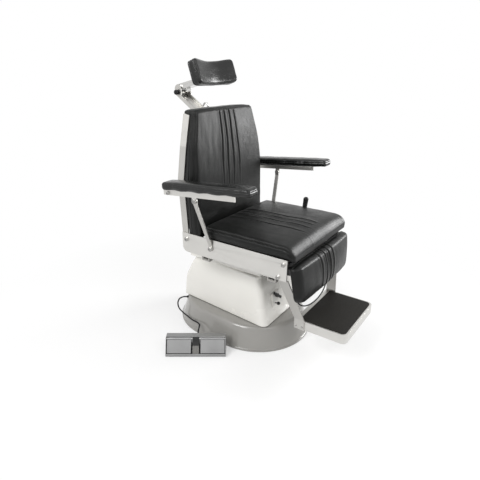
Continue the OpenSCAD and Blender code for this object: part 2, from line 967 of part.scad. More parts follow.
module seat_cushion() {
    l = seat_front - seat_rear;
    deep = panel_top + face_gap - seat_low;
    high = seat_top - panel_top - face_gap;
    crown = high / 4;
    color(black) {
        translate([seat_rear + l / 2, 0, panel_top + face_gap])
            cushion(l, seat_half_w, seat_half_w, high - crown, crown, true);
        block([seat_rear + seat_side_gap, -panel_in + board_side_gap, seat_low],
            [seat_in_front, panel_in - board_side_gap, panel_top + cut]);
    }
}

// Pivot bolts with heads on the panels' outer faces
module pivot_bolt(x, z, r, head, y_out, y_in, nut_y) {
    pin_y(x, z, r, -y_out, -y_in);
    pin_y(x, z, head, -y_out - head_hex_t, -y_out);
    pin_y(x, z, head, -nut_y, -nut_y + nut_t);
}

module back_pivot_bolts() {
    color(chrome)
        for (s = [0, 1])
            mirror([0, s, 0])
                pivot_bolt(back_px, back_pz, pivot_r, head_r, panel_y, rail_y - rail_t - slide_gap - nut_t,
                    rail_y - rail_t - slide_gap);
}

module strut_pivot_bolts() {
    color(chrome)
        for (s = [0, 1])
            mirror([0, s, 0])
                pivot_bolt(strut_px, strut_pz, pivot_r, head_r, strut_low_y + face_gap, panel_in - nut_t,
                    panel_in);
}

module leg_bolts() {
    color(chrome)
        for (s = [0, 1], p = [[leg_top_x, leg_top_z], [leg_bolt_x, leg_bolt_z]])
            mirror([0, s, 0])
                pivot_bolt(p[0], p[1], leg_bolt_r, leg_bolt_head, panel_y, panel_in - leg_arm_t - nut_t,
                    panel_in - leg_arm_t);
}

// Recline lever on the patient's left panel
lever_y = panel_y + slide_gap;
grip_y = lever_y + lever_out + lever_t / 2;

module recline_lever() {
    color(steel) {
        pin_y(lever_x, lever_z, lever_hub_r, lever_y, lever_y + lever_t);
        translate([lever_x, lever_y, lever_z])
            rotate([0, grip_lean, 0])
                hull() {
                    translate([-lever_w / 2, 0, lever_hub_r / 2])
                        cube([lever_w, lever_t, thin]);
                    translate([-lever_w / 2, lever_out, lever_len - thin])
                        cube([lever_w, lever_t, thin]);
                }
        pin_y(lever_x, lever_z, lever_pin_r, panel_in - nut_t, lever_y + lever_t + head_hex_t);
        pin_y(lever_x, lever_z, head_r, panel_in - nut_t - head_hex_t, panel_in - nut_t);
    }
}

module lever_grip() {
    color(rubber)
        translate([lever_x, grip_y, lever_z])
            rotate([0, grip_lean, 0])
                translate([0, 0, lever_len])
                    rotate_extrude($fn = round_fn)
                        polygon(concat([[0, 0]], arc(grip_r / 2, grip_r / 2, grip_r / 2, -90, 0),
                            arc(0, grip_len - grip_r, grip_r, 0, 90)));
}

// Leg arms: a flat top bolted inside the panel, a part that leans in, and an upright tab at the tray
module leg_arm() {
    y0 = panel_in - leg_arm_t;
    color(steel)
        difference() {
            union() {
                side_plate([[leg_bend_x, leg_bend_z], [leg_bend_x, leg_bolt_z], [leg_top_x - eye_r, leg_top_z + eye_r],
                    [leg_bend_x + leg_arm_w - cut - panel_t, leg_top_z + eye_r],
                    [leg_bend_x + leg_arm_w - cut - panel_t, leg_bend_z]], -panel_in, leg_arm_t);
                hull() {
                    block([leg_bend_x, -panel_in, leg_bend_z - thin],
                        [leg_bend_x + leg_arm_w, -y0, leg_bend_z]);
                    block([leg_low_x, -tray_y, leg_low_z], [leg_low_x + leg_arm_w, leg_arm_t - tray_y,
                        leg_low_z + thin]);
                }
                block([leg_low_x, -tray_y, tray_top - tray_h],
                    [leg_low_x + leg_arm_w, leg_arm_t - tray_y, leg_low_z + thin]);
            }
            pin_y(leg_top_x, leg_top_z, leg_bolt_r + run_gap, -panel_y - cut, -y0 + cut);
            pin_y(leg_bolt_x, leg_bolt_z, leg_bolt_r + run_gap, -panel_y - cut, -y0 + cut);
        }
}

module leg_arm_right() {
    leg_arm();
}

module leg_arm_left() {
    left_copy()
        leg_arm();
}

// Calf support, drawn flat with its length downwards and then leaned into place
calf_len = calf_top_z - calf_low_z;

module calf_place() {
    translate([calf_top_x, 0, calf_top_z])
        rotate([0, 90 - calf_lean, 0])
            children();
}

calf_board_x = calf_top_x - calf_board_t;
bail_down = calf_len - seat_side_gap;
bail_x = calf_top_x + bail_down * sin(calf_lean) - bail_clip_r;
bail_z = calf_top_z - bail_down * cos(calf_lean) - calf_board_t * sin(calf_lean) - bail_clip_r - soft_gap;

module calf_board() {
    color(dark)
        for (s = [-1, 1])
            block([calf_board_x - bracket_back, s * (panel_in - leg_arm_t - bracket_w / 2) - bracket_w / 2,
                bracket_low], [calf_board_x + calf_board_t / 2, s * (panel_in - leg_arm_t - bracket_w / 2)
                + bracket_w / 2, bracket_low + bracket_h]);
    color(dark)
        calf_place()
            translate([0, 0, -calf_board_t])
                linear_extrude(height = calf_board_t)
                    polygon([[seat_side_gap, -calf_top_w + calf_board_in], [calf_len - seat_side_gap,
                        -calf_low_w + calf_board_in], [calf_len - seat_side_gap, calf_low_w - calf_board_in],
                        [seat_side_gap, calf_top_w - calf_board_in]]);
}

module calf_pad() {
    color(black)
        calf_place()
            translate([calf_len / 2, 0, soft_gap])
                cushion(calf_len, calf_top_w, calf_low_w, calf_t, calf_bulge, true, 12, 30);
}

// Thin bail that hangs under the calf board
module calf_bail() {
    mid = (bail_y0 + bail_y1) / 2;
    half = (bail_y1 - bail_y0) / 2;
    color(rubber)
        translate([bail_x, mid, bail_z]) {
            tube([for (i = [0:12]) let (a = 180 * i / 12) [0, bail_skew * sin(a) - half * cos(a),
                -bail_drop * sin(a)]],
                bail_r, 8, 2);
            for (s = [-1, 1])
                translate([0, s * half, 0])
                    rotate([90, 0, 0])
                        translate([0, 0, -bail_clip_l / 2])
                            cylinder(r = bail_clip_r, h = bail_clip_l, $fn = round_fn);
        }
}

// Foot tray: a folded stainless tray with a rubber mat
module tray_plan(x0, inset) {
    half = tray_y - leg_arm_t - inset;
    x1 = tray_front - inset;
    r = tray_r - inset / 2;
    hull() {
        for (s = [-1, 1])
            translate([x1 - r, s * (half - r)])
                circle(r = r, $fn = round_fn);
        translate([x0, -half])
            square([r, 2 * half]);
    }
}

module foot_tray() {
    color(steel)
        translate([0, 0, tray_top - tray_h])
            difference() {
                linear_extrude(height = tray_h)
                    tray_plan(leg_low_x, 0);
                translate([0, 0, -cut])
                    linear_extrude(height = tray_h - tray_wall - mat_t + mat_rise + cut)
                        tray_plan(leg_low_x + tray_wall, tray_wall);
                translate([0, 0, tray_h - mat_t + mat_rise])
                    linear_extrude(height = mat_t)
                        tray_plan(leg_low_x + mat_rear_gap - face_gap, mat_inset - face_gap);
            }
}

module foot_mat() {
    color(rubber)
        translate([0, 0, tray_top - mat_t + mat_rise])
            linear_extrude(height = mat_t)
                tray_plan(leg_low_x + mat_rear_gap, mat_inset);
}

// Backrest rails: straight to armrest level, then drawn in towards the top
module rail_station(x, y, z) {
    translate([x - rail_w / 2, -y, z])
        cube([rail_w, rail_t, thin]);
}

module back_rail() {
    color(steel)
        difference() {
            union() {
                pin_y(back_px, back_pz, eye_r, -rail_y, rail_t - rail_y);
                hull() {
                    rail_station(rail_low_x, rail_y, back_pz);
                    rail_station(rail_mid_x, rail_y, rail_mid_z);
                }
                hull() {
                    rail_station(rail_mid_x, rail_y, rail_mid_z);
                    rail_station(rail_bend_x, back_bend_w, rail_bend_z);
                }
                hull() {
                    rail_station(rail_bend_x, back_bend_w, rail_bend_z);
                    rail_station(rail_top_x, back_top_w, rail_top_z);
                }
            }
            pin_y(back_px, back_pz, pivot_r + run_gap, -panel_y, -rail_y + rail_t + cut);
            pin_y(arm_px, arm_pz, arm_pin_r + run_gap, -panel_y, -rail_y + rail_t + cut);
        }
}

module back_rail_right() {
    back_rail();
}

module back_rail_left() {
    left_copy()
        back_rail();
}

// Back shell: a board between the rails with two tie tubes
function rail_x(z) = z < rail_mid_z ? rail_low_x + (rail_mid_x - rail_low_x) * (z - back_pz) / (rail_mid_z - back_pz)
    : z < rail_bend_z ? rail_mid_x + (rail_bend_x - rail_mid_x) * (z - rail_mid_z) / (rail_bend_z - rail_mid_z)
    : rail_bend_x + (rail_top_x - rail_bend_x) * (z - rail_bend_z) / (rail_top_z - rail_bend_z);
function rail_half(z) = z < rail_mid_z ? rail_y
    : z < rail_bend_z ? rail_y + (back_bend_w - rail_y) * (z - rail_mid_z) / (rail_bend_z - rail_mid_z)
    : back_bend_w + (back_top_w - back_bend_w) * (z - rail_bend_z) / (rail_top_z - rail_bend_z);

module shell_slice(z) {
    half = rail_half(z) - rail_t - shell_side_gap;
    translate([rail_x(z) + rail_w / 2 - shell_t, -half, z])
        cube([shell_t, 2 * half, thin]);
}

module tie(z) {
    half = rail_half(z + tie_r) - rail_t - face_gap;
    pin_y(rail_x(z) + rail_w / 2 - shell_t - tie_r / 2, z, tie_r, -half, half);
}

module back_shell() {
    levels = [shell_low, rail_mid_z, rail_bend_z, rail_top_z - shell_inset];
    color(dark) {
        for (i = [0:2])
            hull() {
                shell_slice(levels[i]);
                shell_slice(levels[i + 1]);
            }
        tie(tie_z);
        tie(tie_high_z);
    }
}

// Back cushion: a grid of face points over the height and width, with a crown and pleats
back_rows = 18;
back_cols = 30;
back_side_in = 8;
back_drop = 9;
back_top_round = 22;

// Two rows of the cushion lie at the rails' bends, so that its rear follows them exactly
function back_row(z) = round(asin((z - back_low) / (back_top - back_low)) * back_rows / 90);
function back_z(i) = i == back_row(rail_bend_z) ? rail_bend_z : i == back_row(rail_mid_z) ? rail_mid_z
    : back_low + (back_top - back_low) * sin(90 * i / back_rows);
function face_x(z) = z < rail_mid_z ? back_face_low + (back_face_mid - back_face_low) * (z - back_low) / (rail_mid_z - back_low)
    : back_face_mid + (back_face_top - back_face_mid) * pow((z - rail_mid_z) / (back_top - rail_mid_z), 1.4);
function back_half(z) = rail_half(min(z, rail_top_z)) + face_gap;
function corner_drop(z, b) = back_drop * pow(abs(b), 4) * pow(max(0, (z - rail_mid_z) / (back_top - rail_mid_z)), 4);
function back_edge(z) = let (t = max(0, (z - back_top + back_top_round) / back_top_round),
    u = max(0, (back_low + back_top_round - z) / back_top_round)) max(t, u);

module back_cushion() {
    function rear(z) = rail_x(min(z, rail_top_z)) + rail_w / 2 + soft_gap;
    function deep(z) = (face_x(z) - rear(z)) * (1 - 0.25 * pow(back_edge(z), 2));
    function half(z) = back_half(z) - back_side_in * pow(back_edge(z), 2);
    cols = edge_grid(back_cols, 1.25);
    front = [for (i = [0:back_rows], b = cols) let (z = back_z(i), h = half(z) - back_side_in / 2,
        roll = 1 - pow(abs(b), crown_power), y = b * h, fade = min(1, max(0, (z - back_low) / (back_top - back_low))))
        [rear(z) + deep(z) * (0.86 + 0.14 * roll) + pleat(y, roll * fade * (1 - pow(back_edge(z), 2))), y,
        z - corner_drop(z, b)]];
    ring = [for (k = [0, 1], s = [-1, 1], i = [0:back_rows]) let (z = back_z(i), h = half(z))
        [rear(z) + deep(z) * (k == 0 ? 0 : 0.55), s * (k == 0 ? h - back_side_in : h), z - corner_drop(z, s)]];
    n = back_cols + 1;
    m = back_rows + 1;
    f = len(front);
    function rr(k, s, i) = f + (k * 2 + s) * m + i;
    faces = concat(
        [for (i = [0:back_rows - 1], j = [0:back_cols - 1]) let (q = i * n + j)
            each [[q, q + n + 1, q + 1], [q, q + n, q + n + 1]]],
        [for (i = [0:back_rows - 1]) each [
            [rr(0, 0, i), rr(1, 0, i + 1), rr(1, 0, i)], [rr(0, 0, i), rr(0, 0, i + 1), rr(1, 0, i + 1)],
            [rr(1, 0, i), (i + 1) * n, i * n], [rr(1, 0, i), rr(1, 0, i + 1), (i + 1) * n],
            [rr(0, 1, i), rr(1, 1, i), rr(1, 1, i + 1)], [rr(0, 1, i), rr(1, 1, i + 1), rr(0, 1, i + 1)],
            [rr(1, 1, i), i * n + n - 1, (i + 1) * n + n - 1], [rr(1, 1, i), (i + 1) * n + n - 1, rr(1, 1, i + 1)],
            [rr(0, 0, i), rr(0, 1, i), rr(0, 1, i + 1)], [rr(0, 0, i), rr(0, 1, i + 1), rr(0, 0, i + 1)]]],
        [concat([rr(0, 0, 0), rr(1, 0, 0)], [for (j = [0:back_cols]) j], [rr(1, 1, 0), rr(0, 1, 0)]),
            concat([rr(0, 1, back_rows), rr(1, 1, back_rows)],
                [for (j = [back_cols:-1:0]) back_rows * n + j], [rr(1, 0, back_rows), rr(0, 0, back_rows)])]);
    color(black)
        polyhedron(points = concat(front, ring), faces = faces);
}

// Armrest pins through the rails, with a spacer out to the bars
module arm_pivot_pins() {
    color(chrome)
        for (s = [0, 1])
            mirror([0, s, 0]) {
                pin_y(arm_px, arm_pz, arm_pin_r, -arm_y - face_gap, -rail_y + rail_t + face_gap);
                pin_y(arm_px, arm_pz, spacer_r, bar_t + slide_gap - arm_y, -rail_y);
                pin_y(arm_px, arm_pz, spacer_r, -rail_y + rail_t, -rail_y + rail_t + nut_t);
                pin_y(arm_px, arm_pz, spacer_r, -arm_y - face_gap - head_hex_t, -arm_y - face_gap);
            }
}

// Armrest group, drawn level about its rear pivot and then tilted
module arm_place() {
    translate([arm_px, 0, arm_pz])
        rotate([0, -arm_tilt, 0])
            children();
}

module arm_bar() {
    color(steel)
        difference() {
            union() {
                arm_place() {
                    block([-bar_rear, -arm_y, -bar_drop], [bar_front, bar_t - arm_y, bar_h - bar_drop]);
                    block([slide_gap - arm_pad_rear, -arm_y, bar_h - bar_drop - bar_plate_t],
                        [bar_front - slide_gap, bar_plate_w - arm_y, bar_h - bar_drop]);
                }
                hull() {
                    pin_y(lug_px, lug_pz, lug_w / 2, -arm_y, bar_t - arm_y);
                    pin_y(lug_px, lug_pz + lug_w, lug_w / 2, -arm_y, bar_t - arm_y);
                }
                pin_y(lug_px, lug_pz, pivot_r, -arm_y, strut_t - strut_high_y);
                pin_y(lug_px, lug_pz, head_r, -arm_y - head_hex_t / 2, -arm_y);
            }
            pin_y(arm_px, arm_pz, arm_pin_r + run_gap, -arm_y - cut, bar_t - arm_y + cut);
            pin_y(arm_px, arm_pz, spacer_r + slide_gap, bar_t - arm_y, -rail_y);
        }
}

module arm_bar_right() {
    arm_bar();
}

module arm_bar_left() {
    left_copy()
        arm_bar();
}

// Armrest pad: a rounded bar cushion with a crown and a drawn-in underside
arm_crown = 5;

module arm_pad() {
    mid = arm_y - arm_pad_in;
    color(black)
        arm_place()
            translate([arm_pad_len / 2 - arm_pad_rear, -mid, bar_h - bar_drop + soft_gap])
                cushion(arm_pad_len, arm_pad_w / 2, arm_pad_w / 2, arm_pad_h, arm_crown, false, 20, 10);
}

module arm_pad_right() {
    arm_pad();
}

module arm_pad_left() {
    left_copy()
        arm_pad();
}

// Struts lean outwards from the panels up to the armrest lugs
module strut_length(up0, up1, y0, y1) {
    x0 = strut_px - arm_back * up0 / arm_rise - strut_w / 2;
    x1 = strut_px - arm_back * up1 / arm_rise - strut_w / 2;
    hull() {
        translate([x0, -y0, strut_pz + up0])
            cube([strut_w, strut_t, thin]);
        translate([x1, -y1, strut_pz + up1 - thin])
            cube([strut_w, strut_t, thin]);
    }
}

module strut() {
    color(steel)
        difference() {
            union() {
                pin_y(strut_px, strut_pz, strut_eye_r, -strut_low_y, strut_t - strut_low_y);
                strut_length(0, strut_bend, strut_low_y, strut_low_y);
                strut_length(strut_bend, arm_rise - strut_bend, strut_low_y, strut_high_y);
                strut_length(arm_rise - strut_bend, arm_rise, strut_high_y, strut_high_y);
                pin_y(lug_px, lug_pz, strut_eye_r, -strut_high_y, strut_t - strut_high_y);
            }
            pin_y(strut_px, strut_pz, pivot_r + run_gap, -strut_low_y - cut, cut + strut_t - strut_low_y);
            pin_y(lug_px, lug_pz, pivot_r + face_gap, -strut_high_y - cut, cut + strut_t - strut_high_y);
        }
}

module strut_right() {
    strut();
}

module strut_left() {
    left_copy()
        strut();
}

// Headrest: a guide on the back shell, a cranked mast, a hinged arm and a hinged pad
guide_x = rail_x(guide_low + guide_h / 2) + rail_w / 2 - shell_t;

module mast_guide() {
    color(dark)
        difference() {
            block([mast_x - guide_t / 2, -guide_w / 2, guide_low],
                [rail_x(guide_low) + rail_w / 2 - shell_t - face_gap, guide_w / 2, guide_low + guide_h]);
            block([mast_x - mast_t / 2 - run_gap, -mast_w / 2 - run_gap, guide_low - cut],
                [mast_x + mast_t / 2 + run_gap, mast_w / 2 + run_gap, guide_low + guide_h + cut]);
        }
}

// The mast's upper end bends back into a channel with two ears that hold the elbow pin
module strap_place() {
    translate([mast_x, 0, mast_top])
        rotate([0, strap_slope, 0])
            children();
}

module head_mast() {
    color(steel)
        difference() {
            union() {
                block([mast_x - mast_t / 2, -mast_w / 2, mast_low],
                    [mast_x + mast_t / 2, mast_w / 2, mast_top + mast_t / 2 * tan(strap_slope) + face_gap]);
                block([mast_x - mast_t, -mast_w / 2 - mast_stop, mast_low - face_gap],
                    [mast_x + mast_t, mast_w / 2 + mast_stop, mast_low + mast_t]);
                strap_place() {
                    block([-strap_len, -strap_w / 2, 0], [mast_t, strap_w / 2, strap_t]);
                    for (s = [-1, 1])
                        block([-strap_len, s * (strap_w - strap_t) / 2 - strap_t / 2, 0],
                            [-strap_t, s * (strap_w - strap_t) / 2 + strap_t / 2, strap_h]);
                }
                for (s = [-1, 1])
                    hull() {
                        pin_y(elbow_x, elbow_z, ear_r, s * (strap_w - strap_t) / 2 - strap_t / 2 + ear_in,
                            s * (strap_w - strap_t) / 2 + strap_t / 2 - ear_in);
                        strap_place()
                            block([-strap_len + face_gap, s * (strap_w - strap_t) / 2 - strap_t / 2 + ear_in,
                                strap_t / 2], [ear_r - strap_len + ear_r / 2, s * (strap_w - strap_t) / 2
                                + strap_t / 2 - ear_in, strap_h - face_gap]);
                    }
                pin_y(elbow_x, elbow_z, elbow_pin_r, -strap_w / 2 - elbow_pin_out, strap_w / 2 + elbow_pin_out);
            }
            pin_y(elbow_x, elbow_z - knob_down, knob_hub_r + run_gap, -strap_w / 2 - cut, strap_t + cut - strap_w / 2);
        }
}

// Grip ring on a post that stands on the channel's floor
module mast_ring() {
    post_z = mast_top + (mast_x - ring_x + ring_wire) * tan(strap_slope) + strap_t / cos(strap_slope) + soft_gap;
    color(chrome)
        translate([ring_x, 0, 0])
            union() {
                translate([0, 0, ring_z])
                    rotate([90, 0, 0])
                        rotate_extrude($fn = round_fn)
                            translate([ring_r - ring_wire, 0])
                                circle(r = ring_wire, $fn = 24);
                translate([0, 0, post_z])
                    cylinder(r = ring_wire - face_gap, h = ring_z - ring_r + ring_wire - post_z, $fn = round_fn);
            }
}

module head_knob() {
    color(rubber)
        union() {
            pin_y(elbow_x, elbow_z - knob_down, knob_r, -strap_w / 2 - elbow_pin_out - face_gap - knob_l,
                -strap_w / 2 - elbow_pin_out - face_gap);
            pin_y(elbow_x, elbow_z - knob_down, knob_hub_r, -strap_w / 2 - elbow_pin_out - face_gap - cut,
                strap_t - strap_w / 2 - face_gap);
        }
}

module head_arm() {
    half = strap_w / 2 - strap_t - strap_gap;
    color(chrome)
        difference() {
            union() {
                pin_y(elbow_x, elbow_z, elbow_r, -half, half);
                hull() {
                    pin_y(elbow_x, elbow_z + arm_root_up, arm_root_r, -head_arm_w / 2, head_arm_w / 2);
                    pin_y(wrist_x, wrist_z, wrist_r, -head_arm_w / 2, head_arm_w / 2);
                }
            }
            pin_y(elbow_x, elbow_z, elbow_pin_r + run_gap, -half - cut, half + cut);
            pin_y(wrist_x, wrist_z, wrist_pin_r + run_gap, -head_arm_w / 2 - cut, head_arm_w / 2 + cut);
            pin_y(wrist_x, wrist_z, wrist_r + slide_gap, -head_lug_w / 2 - strap_gap, head_lug_w / 2 + strap_gap);
        }
}

// Headrest pad, drawn with its face along +Z and its length down, then leaned
module head_place() {
    translate([head_top_x, 0, head_top_z])
        rotate([0, 90 - head_lean, 0])
            children();
}

module head_plate() {
    color(dark)
        union() {
            head_place()
                translate([head_h / 2, 0, -head_t - head_plate_t - soft_gap])
                    block([-head_plate_h / 2, -head_plate_w / 2, 0], [head_plate_h / 2, head_plate_w / 2,
                        head_plate_t]);
            difference() {
                union() {
                    pin_y(wrist_x, wrist_z, wrist_r, -head_lug_w / 2, head_lug_w / 2);
                    hull() {
                        pin_y(wrist_x, wrist_z, wrist_r / 2, -head_lug_w / 2, head_lug_w / 2);
                        head_place()
                            translate([head_h / 2, 0, -head_t - head_plate_t - soft_gap])
                                block([0, -head_lug_w / 2, 0], [head_plate_h / 4, head_lug_w / 2,
                                    head_plate_t / 2]);
                    }
                }
            }
            pin_y(wrist_x, wrist_z, wrist_pin_r, -head_arm_w / 2, head_arm_w / 2);
        }
}

// Dished headrest pad: the sides stand forward of the middle
head_rows = 10;
head_cols = 24;

module head_pad() {
    rows = edge_grid(head_rows, 1.6);
    cols = edge_grid(head_cols, 1.4);
    function w(a, b) = head_half_w * (1 - corner_share * pow(abs(a), crown_power)) * b;
    function l(a, b) = head_h / 2 * (1 - corner_share * pow(abs(b), crown_power)) * a
        - head_dip * cos(90 * b) * min(a, 0);
    function roll(a, b) = (1 - pow(abs(a), crown_power)) * (1 - pow(abs(b), crown_power));
    function face(a, b) = -head_dish * cos(90 * b) - (1 - roll(a, b)) * head_dish / 2;
    n = head_cols + 1;
    front = [for (a = rows, b = cols) [l(a, b), w(a, b) * 0.98, face(a, b)]];
    rear = [for (a = rows, b = cols) [l(a, b) * 0.97, w(a, b) * 0.98, -head_t + (1 - roll(a, b)) * head_dish / 2]];
    edge = concat([for (j = [0:head_cols - 1]) j], [for (i = [0:head_rows - 1]) i * n + head_cols],
        [for (j = [head_cols:-1:1]) head_rows * n + j], [for (i = [head_rows:-1:1]) i * n]);
    f = len(front);
    belt = [for (k = edge) (front[k] + rear[k]) / 2 + [rear[k][0] * 0.03, rear[k][1] * 0.02, 0]];
    faces = concat(
        [for (i = [0:head_rows - 1], j = [0:head_cols - 1]) let (q = i * n + j)
            each [[q, q + 1, q + n + 1], [q, q + n + 1, q + n],
                [f + q, f + q + n + 1, f + q + 1], [f + q, f + q + n, f + q + n + 1]]],
        [for (e = [0:len(edge) - 1]) let (g = (e + 1) % len(edge), p = edge[e], q = edge[g], c = 2 * f + e,
            d = 2 * f + g) each [[p, c, q], [q, c, d], [c, f + p, f + q], [c, f + q, d]]]);
    color(black)
        head_place()
            translate([head_h / 2, 0, 0])
                polyhedron(points = concat(front, rear, belt), faces = faces);
}

base_plate();
base_pan();
column_outer();
lift_motor();
lift_spindle();
cord_gland();
switch_cord();
switch_housing();
switch_divider();
switch_rods();
switch_springs();
switch_contacts();
switch_feet();
switch_strain_relief();
pedal_up();
pedal_down();
column_inner();
carrier_plate();
upper_cover();
cover_spacers();
bearing_lower();
lock_bezel();
lock_lever();
release_pull();
bearing_upper();
seat_frame();
side_panel_right();
side_panel_left();
seat_board();
seat_cushion();
back_pivot_bolts();
strut_pivot_bolts();
recline_lever();
lever_grip();
leg_arm_right();
leg_arm_left();
leg_bolts();
calf_board();
calf_pad();
calf_bail();
foot_tray();
foot_mat();
back_rail_right();
back_rail_left();
back_shell();
back_cushion();
arm_pivot_pins();
arm_bar_right();
arm_bar_left();
arm_pad_right();
arm_pad_left();
strut_right();
strut_left();
mast_guide();
head_mast();
mast_ring();
head_knob();
head_arm();
head_plate();
head_pad();
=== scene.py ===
# %% [markdown]
# # An ear, nose and throat examination chair
# The chair stands on a lifting pedestal with a foot switch. Its metal frame comes from the packed
# model and stays where it is. The soft pads, the two moulded shells and the small turned parts are
# built here, because their beauty lies in seams, folds and smooth curves.

# %% Load the frame
import math

import bpy
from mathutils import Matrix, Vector, noise


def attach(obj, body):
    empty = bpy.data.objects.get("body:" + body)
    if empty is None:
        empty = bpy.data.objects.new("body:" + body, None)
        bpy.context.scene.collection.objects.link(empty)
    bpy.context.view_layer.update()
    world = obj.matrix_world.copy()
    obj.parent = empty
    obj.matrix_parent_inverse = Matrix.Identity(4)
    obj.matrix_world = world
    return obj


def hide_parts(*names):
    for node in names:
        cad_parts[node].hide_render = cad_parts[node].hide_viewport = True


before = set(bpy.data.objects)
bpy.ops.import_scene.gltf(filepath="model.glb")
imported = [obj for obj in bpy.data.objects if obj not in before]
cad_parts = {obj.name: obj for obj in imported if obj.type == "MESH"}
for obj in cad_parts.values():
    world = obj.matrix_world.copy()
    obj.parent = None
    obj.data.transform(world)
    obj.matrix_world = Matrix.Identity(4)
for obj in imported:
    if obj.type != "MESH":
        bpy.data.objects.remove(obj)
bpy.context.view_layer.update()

# %% [markdown]
# The camera comes first. Its place and lens were worked out from the photograph: it looks down at
# the chair from the patient's front right, with a wide lens. One helper links each new object.

# %% Camera
def linked(name, data):
    """An object of the scene from its data."""
    made = bpy.data.objects.new(name, data)
    bpy.context.scene.collection.objects.link(made)
    return made


CAMERA_PLACE = (1.074, -1.549, 1.201)
CAMERA_TILT = math.radians(67.83)
CAMERA_TURN = math.radians(35.41)
LENS = 31.07
SENSOR = 36
camera_data = bpy.data.cameras.new("camera")
camera_data.sensor_width = SENSOR
camera_data.lens = LENS
camera = linked("camera", camera_data)
camera.location = CAMERA_PLACE
camera.rotation_euler = (CAMERA_TILT, 0, CAMERA_TURN)
bpy.context.scene.camera = camera
print("camera at", CAMERA_PLACE, "with a lens of", LENS, "mm")

# %% [markdown]
# All sizes below are in millimetres, as on a drawing. Blender works in metres, so each point is
# multiplied by MM on its way into a mesh. The other helpers shape curves: a share of a range, a
# soft step, a bell, a line through given values, and a mean that eases that line's bends.

# %% Millimetres to metres
MM = 0.001
SIDES = ((-1, "right"), (1, "left"))


def metres(x, y, z):
    return Vector((x * MM, y * MM, z * MM))


def blend_between(a, b, t):
    return a + (b - a) * t


def clamped(t, low=0.0, high=1.0):
    return max(low, min(high, t))


def share(value, low, high):
    return clamped((value - low) / (high - low))


def smooth(t):
    t = clamped(t)
    return t * t * (3 - 2 * t)


def bell(distance, width):
    return math.exp(-(distance / width) ** 2)


def through(z, heights, values):
    """A value that changes straight between the heights at which it is given."""
    for i, (low, high) in enumerate(zip(heights, heights[1:])):
        if z <= high:
            return blend_between(values[i], values[i + 1], share(z, low, high))
    return values[-1]


def mean_around(value, reach):
    """The mean of a function at 17 places from -reach to reach."""
    return sum(value(reach * k / 8) for k in range(-8, 9)) / 17


# %% [markdown]
# ## Materials
# Every finish is built from nodes. Effects that several finishes share are node groups, which give
# out only values: a height for the Bump node, or a mask that changes colour or roughness a little.

# %% A helper for node groups
def node_group(name, inputs, outputs):
    """An empty shader group with named value inputs and outputs."""
    group = bpy.data.node_groups.new(name, "ShaderNodeTree")
    for label, default in inputs:
        socket = group.interface.new_socket(label, in_out="INPUT", socket_type="NodeSocketFloat")
        socket.default_value = default
    for label in outputs:
        group.interface.new_socket(label, in_out="OUTPUT", socket_type="NodeSocketFloat")
    return group, group.nodes.new("NodeGroupInput"), group.nodes.new("NodeGroupOutput")


def value_node(tree, operation, *values):
    """A Math node whose inputs are sockets or plain numbers."""
    made = tree.nodes.new("ShaderNodeMath")
    made.operation = operation
    for socket, value in zip(made.inputs, values):
        if isinstance(value, bpy.types.NodeSocket):
            tree.links.new(value, socket)
        else:
            socket.default_value = value
    return made.outputs[0]


def ramp_node(tree, value, low, high, to_low=0.0, to_high=1.0):
    """Maps a value range to another, held at its ends."""
    made = tree.nodes.new("ShaderNodeMapRange")
    for socket, number in zip(made.inputs[1:5], (low, high, to_low, to_high)):
        socket.default_value = number
    tree.links.new(value, made.inputs[0])
    return made.outputs[0]


def stretched_point(tree, scale=(1, 1, 1)):
    """The surface point in the piece's own space, stretched along the axes."""
    point = tree.nodes.new("ShaderNodeTexCoord").outputs["Object"]
    mapping = tree.nodes.new("ShaderNodeMapping")
    mapping.inputs["Scale"].default_value = scale
    tree.links.new(point, mapping.inputs["Vector"])
    return mapping.outputs[0]


def noise_node(tree, vector, scale, detail=3.0, roughness=0.5):
    made = tree.nodes.new("ShaderNodeTexNoise")
    tree.links.new(vector, made.inputs["Vector"])
    if isinstance(scale, bpy.types.NodeSocket):
        tree.links.new(scale, made.inputs["Scale"])
    else:
        made.inputs["Scale"].default_value = scale
    made.inputs["Detail"].default_value = detail
    made.inputs["Roughness"].default_value = roughness
    return made.outputs["Fac"]


# %% [markdown]
# Synthetic leather has a fine pebble: small cells with shallow valleys, and finer grain on top.
# Long soft creases run through it where it has been stretched and sat on.

# %% Leather grain group
PEBBLE_SHARE = 0.7
GRAIN_SHARE = 0.3
GRAIN_SCALE = 2600.0
CREASE_STRETCH = (14, 40, 22)
CREASE_HALF = 0.05
leather_group, group_in, group_out = node_group(
    "leather_grain", [("Cells", 620.0), ("Crease", 0.5)], ["Height"])
tree = leather_group
point = stretched_point(tree)
cells = tree.nodes.new("ShaderNodeTexVoronoi")
cells.feature = "SMOOTH_F1"
cells.inputs["Smoothness"].default_value = 0.35
tree.links.new(point, cells.inputs["Vector"])
tree.links.new(group_in.outputs["Cells"], cells.inputs["Scale"])
pebble = ramp_node(tree, cells.outputs["Distance"], 0.1, 0.75, 1.0, 0.0)
fine = noise_node(tree, point, GRAIN_SCALE, 2.0)
crease = noise_node(tree, stretched_point(tree, CREASE_STRETCH), 1.0, 5.0, 0.6)
off_middle = value_node(tree, "ABSOLUTE", value_node(tree, "SUBTRACT", crease, 0.5))
crease_line = ramp_node(tree, off_middle, 0.0, CREASE_HALF, -1.0, 0.0)
crease_part = value_node(tree, "MULTIPLY", crease_line, group_in.outputs["Crease"])
height = value_node(tree, "ADD", value_node(tree, "MULTIPLY", pebble, PEBBLE_SHARE),
                    value_node(tree, "MULTIPLY", fine, GRAIN_SHARE))
height = value_node(tree, "ADD", height, crease_part)
tree.links.new(height, group_out.inputs["Height"])
print("group:", leather_group.name)

